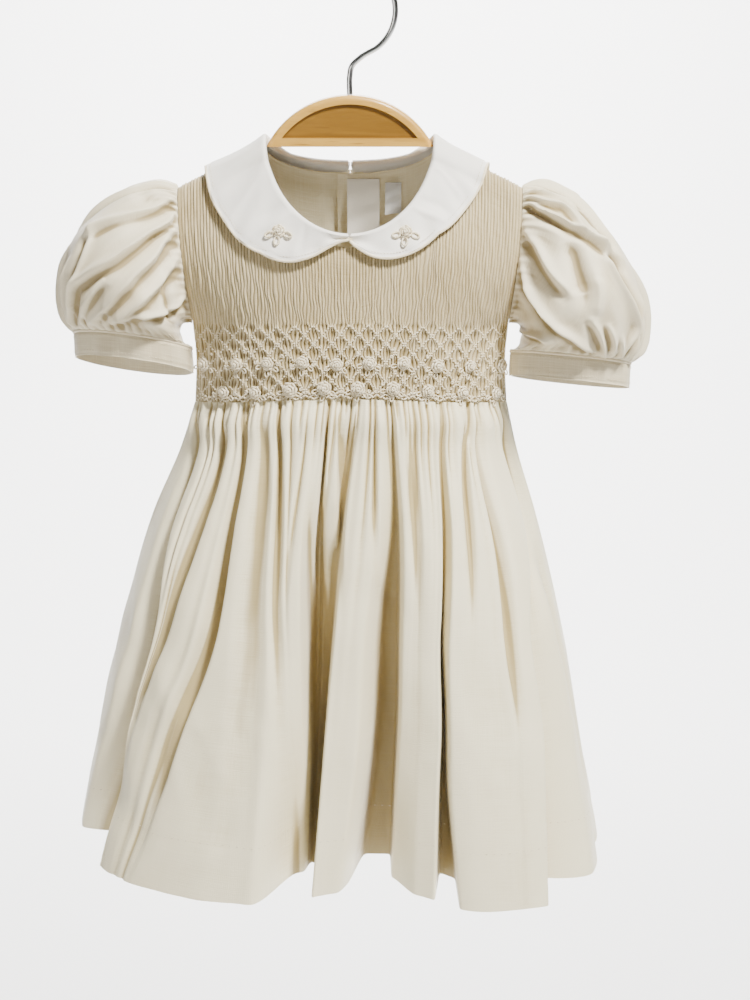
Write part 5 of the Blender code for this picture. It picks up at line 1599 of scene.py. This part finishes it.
def collar_edge(side, count=170):
    part = np.linspace(0.004, 0.996, count)
    edge, _ = collar_surface(part, np.ones(count), COLLAR_THICK / 2, side)
    inside, _ = collar_surface(part, np.full(count, 0.85), COLLAR_THICK / 2, side)
    along = np.gradient(edge, axis=0)
    away = edge - inside
    away = unit(away - along * (np.sum(away * along, axis=1) / np.sum(along**2, axis=1))[:, None])
    return (edge + away * PIPING_RADIUS * 0.7) * mirrored(side)


def build_collar(side, hand):
    outer, inner = collar_grid(side)
    add_cloth(f"collar_{hand}_cloth", f"collar_{hand}", "collar_cotton", WHITE, outer, inner)
    cord = add_cord(f"collar_{hand}_cord", collar_edge(side), PIPING_RADIUS * 0.85, 10, False, PIPING)
    settle(cord, f"collar_{hand}_piping", slot="piping_cord")


# ---- backs, with their lap and buttons


def lap_lift(station):
    return (WALL + SEAM) * (1.0 - smooth((station - LAP_HALF - SEAM) / LAP_BLEND))


def back_grid(side, columns=110, rows=64):
    """One back and its normals. side 1 lies under the lap, and -1 over it."""
    lap_end = LAP_HALF + SEAM
    lapped = np.linspace(-LAP_HALF, lap_end, 14)
    station = np.concatenate((lapped, np.linspace(lap_end, SHOULDER_HALF, columns - 13)[1:]))
    top_x = crowded(np.minimum(station, EDGE_X))
    top = neck_top(top_x, BACK_NECK_DROP)
    waist = waist_z(station / SHOULDER_HALF, "back") + SEAM / 2
    narrow = np.maximum(0.0, station - lap_end) / (SHOULDER_HALF - lap_end)
    grid = []
    for kind, value in ROLL_ROWS + [("yoke", i / (rows - 5)) for i in range(1, rows - 4)]:
        z = top - value if kind == "roll" else mix(top - ROLL, waist, value)
        x = mix(top_x, np.minimum(station, EDGE_X), yoke_share(kind, value))
        x = x + narrow * (read(BODY, "cut", z) - SHOULDER_HALF)
        grid.append(body_surface(side * x, z, "back"))
    grid = np.array(grid)
    normals = grid_normals(grid, np.array((0.0, 1.0, 0.3)))
    lift = lap_lift(station) if side < 0 else 0.0 * station
    return grid + lift[:, None] * normals, normals


def build_back(side, hand):
    outer, normals = back_grid(side)
    add_cloth(f"back_{hand}_cloth", f"back_{hand}", "ivory_cotton", IVORY, outer, outer - CLOTH * normals)


# ---- hanger

LEVEL = 1e-6  # ends this close in height count as level


def pick(kind, test):
    """Selects the faces or edges of the mesh being edited that pass a test."""
    bpy.ops.mesh.select_mode(type=kind)
    bpy.ops.mesh.select_all(action="DESELECT")
    mesh = bpy.context.edit_object.data
    shape = bmesh.from_edit_mesh(mesh)
    for item in shape.faces if kind == "FACE" else shape.edges:
        if test(item):
            item.select_set(True)
    bmesh.update_edit_mesh(mesh)


def cut_level(low):
    """Cuts off what lies under a height, and closes the cut."""
    bpy.ops.mesh.select_all(action="SELECT")
    bpy.ops.mesh.bisect(plane_co=(0.0, 0.0, low), plane_no=(0.0, 0.0, 1.0), clear_inner=True, use_fill=True)
    bpy.ops.mesh.select_all(action="SELECT")
    bpy.ops.mesh.normals_make_consistent(inside=False)


def finish_edit(piece, degrees, material):
    """Ends the shaping of a hard piece: smooth faces, sharp edges past an angle, and one material."""
    choose(piece)
    bpy.ops.object.shade_smooth_by_angle(angle=math.radians(degrees))
    piece.data.materials.clear()
    piece.data.materials.append(material)


def choose(piece):
    bpy.ops.object.select_all(action="DESELECT")
    piece.select_set(True)
    bpy.context.view_layer.objects.active = piece


def cut_out(piece, cutter):
    """Takes a cutter's shape out of a piece."""
    bpy.context.view_layer.objects.active = piece
    cut = piece.modifiers.new("cut", "BOOLEAN")
    cut.operation, cut.object = "DIFFERENCE", cutter
    bpy.ops.object.modifier_apply(modifier="cut")
    bpy.data.objects.remove(cutter)


def start_disc(name, radius, back, front):
    """A disc round the arch's middle that stands across Y, from back to front, left in edit mode."""
    bpy.ops.object.select_all(action="DESELECT")
    bpy.ops.mesh.primitive_circle_add(vertices=192, radius=radius, fill_type="NGON", location=(0.0, 0.0, 0.0))
    disc = bpy.context.object
    disc.name = name
    bpy.ops.object.mode_set(mode="EDIT")
    bpy.ops.mesh.select_all(action="SELECT")
    bpy.ops.transform.rotate(value=math.pi / 2, orient_axis="X", center_override=(0.0, 0.0, 0.0))
    bpy.ops.transform.translate(value=(0.0, back, ARCH_TOP_Z - ARCH_RADIUS))
    bpy.ops.mesh.extrude_region_move(TRANSFORM_OT_translate={"value": (0.0, front - back, 0.0)})
    bpy.ops.mesh.select_all(action="SELECT")
    bpy.ops.mesh.normals_make_consistent(inside=False)
    return disc


def build_board():
    """A thick disc with rounded rims, cut off level below, and sunk between its rims on both faces."""
    board = start_disc("hanger_board_wood", ARCH_RADIUS, BOARD_HALF, -BOARD_HALF)
    pick("EDGE", lambda edge: abs(edge.verts[0].co.y - edge.verts[1].co.y) < LEVEL)
    bpy.ops.mesh.bevel(offset=BOARD_BEVEL, segments=6, profile=0.5, affect="EDGES")
    cut_level(BAR_LOW_Z)
    bpy.ops.object.mode_set(mode="OBJECT")
    for way in (-1, 1):
        ends = way * (BOARD_HALF - PANEL_SINK), way * (BOARD_HALF + 0.002)
        cutter = start_disc("panel_cutter", ARCH_RADIUS - PANEL_RIM, *ends)
        cut_level(BAR_LOW_Z + PANEL_RIM)
        bpy.ops.object.mode_set(mode="OBJECT")
        cut_out(board, cutter)
    finish_edit(board, 32.0, WOOD)
    settle(board, "hanger_board", slot="pale_wood")


def build_hook():
    """The wire, from its stem in the board round its open bow to a rounded tip."""
    bow = [math.radians(mix(BOW_START, BOW_END, step / 20)) for step in range(21)]
    places = list(STEM_PLACES)
    places += [(BOW_REACH * math.cos(a), BOW_CENTRE_Z + BOW_REACH * math.sin(a)) for a in bow]
    places = np.array(places)
    knots = run_along(places)
    at = np.linspace(0.0, knots[-1], 260)
    line = joined(through(knots, places[:, 0], at), 0.0 * at, through(knots, places[:, 1], at))
    left = np.clip((knots[-1] - at) / WIRE_RADIUS, 0.0, 1.0)
    radius = WIRE_RADIUS * np.sqrt(np.clip(1.0 - (1.0 - left) ** 2, 0.04, 1.0))
    wire = add_cord("hanger_hook_wire", line, radius, 20, False, METAL, up=(0.0, 1.0, 0.0))
    settle(wire, "hanger_hook", slot="bright_wire")


# ---- label, tab, buttons


def hung_tape(name, node, finish, xs, zs, curl):
    """A tape sewn on at its top, that hangs inside the back and curls off it lower down."""
    over, down = np.meshgrid(np.linspace(0.0, 1.0, 22), np.linspace(0.0, 1.0, 36))
    x, z = mix(*xs, over), mix(*zs, down)
    normal = body_normal(x, z, "back")
    bent = curl * down**2.2 * (0.6 + 0.4 * np.cos(over * 4.0 + 0.5)) + 0.0002 * np.sin(down * 15.0 + over * 3.0)
    outer = body_surface(x, z, "back") - (WALL + LABEL_GAP + bent)[..., None] * normal
    add_cloth(name, node, "collar_cotton", finish, outer, outer + TAPE_THICK * normal)


BUTTON_RADIUS = 0.0048
BUTTON_THICK = 0.0020
BUTTON_HOLE = 0.00055
HOLE_APART = 0.00115
BUTTON_DISHES = ((0.0009, 0.0), (0.0004, -0.0003), (0.0004, -0.0001))  # how far in and how deep
BUTTON_THREAD = 0.00028


def build_button(number, z):
    """A dished button with four holes, sewn on with two crossed threads."""
    normal = body_normal(np.zeros(1), np.full(1, z), "back")[0]
    seat = body_surface(np.zeros(1), np.full(1, z), "back")[0] + normal * (WALL + 2 * SEAM)
    bpy.ops.object.select_all(action="DESELECT")
    middle = (0.0, 0.0, BUTTON_THICK / 2)
    bpy.ops.mesh.primitive_cylinder_add(vertices=56, radius=BUTTON_RADIUS, depth=BUTTON_THICK, location=middle)
    button = bpy.context.object
    button.name = f"button_{number}_shell"
    bpy.ops.object.transform_apply(location=True, rotation=True, scale=True)
    bpy.ops.object.mode_set(mode="EDIT")
    pick("EDGE", lambda edge: abs(edge.verts[0].co.z - edge.verts[1].co.z) < LEVEL)
    bpy.ops.mesh.bevel(offset=BUTTON_THICK * 0.3, segments=4, profile=0.6, affect="EDGES")
    pick("FACE", lambda face: face.normal.z > 0.99 and len(face.verts) > 8)
    for across, deep in BUTTON_DISHES:
        bpy.ops.mesh.inset(thickness=across, depth=deep)
    bpy.ops.object.mode_set(mode="OBJECT")
    for x in (-1, 1):
        for y in (-1, 1):
            place = (x * HOLE_APART, y * HOLE_APART, BUTTON_THICK / 2)
            long = BUTTON_THICK * 2
            bpy.ops.mesh.primitive_cylinder_add(vertices=18, radius=BUTTON_HOLE, depth=long, location=place)
            cut_out(button, bpy.context.object)
    choose(button)
    button.rotation_euler = Vector(normal).to_track_quat("Z", "Y").to_euler()
    button.location = seat
    turn = button.rotation_euler.to_matrix()
    bpy.ops.object.transform_apply(location=True, rotation=True, scale=True)
    finish_edit(button, 35.0, PEARL)
    settle(button, f"button_{number}", slot="pearl_button")
    strands = []
    share = np.linspace(0.0, 1.0, 9)
    for way in (-1, 1):
        x = mix(-HOLE_APART, HOLE_APART, share)
        line = joined(x, way * x, BUTTON_THICK - 0.0006 + 0.0007 * np.sin(math.pi * share) ** 0.5)
        rings = cord_points(line, BUTTON_THREAD, 6, False, (0.3, 0.2, 1.0)).reshape(-1, 3)
        strands.append((rings @ np.array(turn).T + seat, cord_faces(9, 6, False)))
    sew(f"button_{number}_thread", strands, True)


# ---- lines of stitches


def stitch_line(points, normals, pitch, long=0.62, wide=0.00042, closed=False):
    """Small stitches laid end to end along a line on the cloth."""
    points, normals = np.asarray(points), np.asarray(normals)
    if closed:
        points, normals = np.concatenate((points, points[:1])), np.concatenate((normals, normals[:1]))
    path = run_along(points)
    count = max(2, int(path[-1] / pitch))
    at = (np.arange(count) + 0.5) * path[-1] / count

    def read_at(values, where):
        return np.stack([np.interp(where, path, values[:, i]) for i in range(3)], axis=-1)

    along = read_at(points, at + 0.0004) - read_at(points, at - 0.0004)
    sizes = (pitch * long, wide, wide * 0.8)
    return copies(seed_shape(5, 2), read_at(points, at), along, unit(read_at(normals, at)), sizes)


COLLAR_STITCH = 0.0019
CUFF_STITCH, CUFF_STITCH_DROPS = 0.0021, (0.0022, 0.0118)
LAP_STITCH, LAP_STITCH_XS, LAP_STITCH_ZS = 0.0022, (-0.0068, 0.0068), (-0.124, -0.262)
HOLE_STITCH, HOLE_HALF, HOLE_LONG = (0.0011, 0.95, 0.0009), 0.00075, 0.0066
COLLAR_ROSES = {-1: (0.265, 0.47), 1: (0.223, 0.42)}
COLLAR_LEAVES = (200.0, 262.0, 335.0)
MEETING_KNOTS = (0.0, 60.0, 125.0)


def build_collar_stitches():
    lines = []
    for side in (-1, 1):
        part = np.linspace(0.02, 0.975, 260)
        across = 1.0 - 0.0021 / np.maximum(collar_width(part, side), 0.004)
        place, normal = collar_surface(part, across, COLLAR_THICK + 0.0001, side)
        lines.append(stitch_line(place * mirrored(side), normal * mirrored(side), COLLAR_STITCH))
    sew("collar_stitches", lines)


def upright(degrees):
    """A direction across the front, turned from level by so many degrees."""
    return np.array(((math.cos(math.radians(degrees)), 0.0, math.sin(math.radians(degrees))),))


def build_collar_roses():
    """A rose with three leaves on each half-collar, and knots where the halves meet."""
    parts = []
    for side, (part, across) in COLLAR_ROSES.items():
        spot = np.array((part,)), np.array((across,))
        place, normal = (made * mirrored(side) for made in collar_surface(*spot, COLLAR_THICK - 0.0001, side))
        parts.append(copies(rose_shape(), place, (1.0, 0.0, 0.2), normal, 1.15))
        for turn in COLLAR_LEAVES:
            way = upright(turn)
            way = unit(way - np.sum(way * normal, axis=-1, keepdims=True) * normal)
            parts.append(copies(loop_shape(), place + way * 0.0034, way, normal, 2.0))
    place, normal = collar_surface(np.array((0.012,)), np.array((0.5,)), COLLAR_THICK, 1)
    middle = place * np.array((0.0, 1.0, 1.0))
    for turn in MEETING_KNOTS:
        parts.append(copies(ring_knot_shape(), middle + upright(turn) * 0.0007, upright(turn), normal, 1.1))
    sew("collar_roses", parts)


def build_cuff_stitches():
    lines = []
    for _, s in sleeve_sizes():
        angle = np.arange(200) * 2 * math.pi / 200
        inwards = cuff_inwards(angle, s)
        for drop in CUFF_STITCH_DROPS:
            line = cuff_line(angle, s) + joined(0.0, 0.0, CUFF_TOP - drop) - inwards * 0.0002
            lines.append(stitch_line(line, -inwards, CUFF_STITCH, closed=True))
    sew("cuff_stitches", lines)


def lap_line(x, z, lift, *stitch):
    """Stitches on the back's lap, along a level or upright line."""
    normal = body_normal(x, z, "back")
    return stitch_line(body_surface(x, z, "back") + normal * (WALL + SEAM + lift), normal, *stitch)


def build_lap_stitches():
    """Stitches down both edges of the back's lap, and along both sides of its buttonholes."""
    z = np.linspace(*LAP_STITCH_ZS, 120)
    lines = [lap_line(np.full(120, x), z, 0.0001, LAP_STITCH) for x in LAP_STITCH_XS]
    for middle in BUTTON_ZS:
        z = middle + np.linspace(-HOLE_LONG, HOLE_LONG, 24)
        lines += [lap_line(np.full(24, way * HOLE_HALF), z, 0.0002, *HOLE_STITCH) for way in (-1, 1)]
    sew("lap_stitches", lines)


# ---- floor and light

FLOOR_Z = -1.15
FLOOR_SIZE = 40.0
BACKDROP_Y = 3.0
BACKDROP_HEIGHT = 12.0
BACKDROP_CURVE = 1.6
SKY_COLOUR, SKY_STRENGTH = (1.0, 0.965, 0.90, 1.0), 0.09
MIDDLE = (0.0, 0.0, -0.30)
# Each lamp: its place, what it points at, its size, its watts and its colour.
LAMPS = {
    "key": ((0.72, -0.80, 1.32), MIDDLE, 0.26, 122, (1.0, 0.985, 0.95)),
    "fill": ((-1.1, -1.5, -0.15), MIDDLE, 1.0, 8, (1.0, 0.96, 0.90)),
    "wash": ((0.0, 2.3, 1.4), (0.0, 3.2, -0.9), 2.0, 420, (1.0, 0.99, 0.98)),
}


def add_floor():
    """A pale floor that curves up into a pale wall some way behind."""
    made = Finish("pale_floor", Specular_IOR_Level=0.1, Roughness=0.9)
    soft = made.noise(made.place("Object"), 3.0, 2.0)
    made.set("Base Color", made.blend(soft, (0.87, 0.87, 0.87), (0.89, 0.89, 0.89)))
    bpy.ops.object.select_all(action="DESELECT")
    bpy.ops.mesh.primitive_plane_add(size=FLOOR_SIZE, location=(0.0, BACKDROP_Y - FLOOR_SIZE / 2, FLOOR_Z))
    floor = bpy.context.object
    floor.name = "floor"
    bpy.ops.object.transform_apply(location=True, rotation=True, scale=True)
    bpy.ops.object.mode_set(mode="EDIT")
    pick("EDGE", lambda edge: min(v.co.y for v in edge.verts) > BACKDROP_Y - 0.01)
    bpy.ops.mesh.extrude_region_move(TRANSFORM_OT_translate={"value": (0.0, 0.0, BACKDROP_HEIGHT)})
    pick("EDGE", lambda edge: all(v.co.y > BACKDROP_Y - 0.01 and v.co.z < FLOOR_Z + 0.01 for v in edge.verts))
    bpy.ops.mesh.bevel(offset=BACKDROP_CURVE, segments=24, profile=0.5, affect="EDGES")
    bpy.ops.object.mode_set(mode="OBJECT")
    bpy.ops.object.shade_smooth()
    floor.data.materials.append(made.material)


def add_light(name, place, target, size, watts, colour):
    data = bpy.data.lights.new(name, "AREA")
    data.shape, data.size, data.energy, data.color = "SQUARE", size, watts, colour
    lamp = bpy.data.objects.new(name, data)
    lamp.location = place
    lamp.rotation_euler = (Vector(target) - Vector(place)).to_track_quat("-Z", "Y").to_euler()
    bpy.context.scene.collection.objects.link(lamp)


def add_lights():
    world = bpy.data.worlds.new("studio")
    world.use_nodes = True
    sky = world.node_tree.nodes["Background"]
    sky.inputs[0].default_value, sky.inputs[1].default_value = SKY_COLOUR, SKY_STRENGTH
    bpy.context.scene.world = world
    for name, settings in LAMPS.items():
        add_light(name, *settings)


build_front()
build_lattice()
build_roses()
build_cable()
for panel in ("front", "back"):
    build_skirt(panel)
for hand, sleeve in sleeve_sizes():
    build_sleeve(hand, sleeve)
    build_cuff(hand, sleeve)
for build in (build_collar, build_back):
    for side, hand in ((-1, "left"), (1, "right")):
        build(side, hand)
build_board()
build_hook()
hung_tape("neck_label_tape", "neck_label", LABEL, LABEL_X, LABEL_Z, LABEL_CURL)
hung_tape("size_tab_tape", "size_tab", TAB, TAB_X, TAB_Z, TAB_CURL)
for number, height in enumerate(BUTTON_ZS, 1):
    build_button(number, height)
build_collar_stitches()
build_collar_roses()
build_cuff_stitches()
build_lap_stitches()
add_floor()
add_lights()
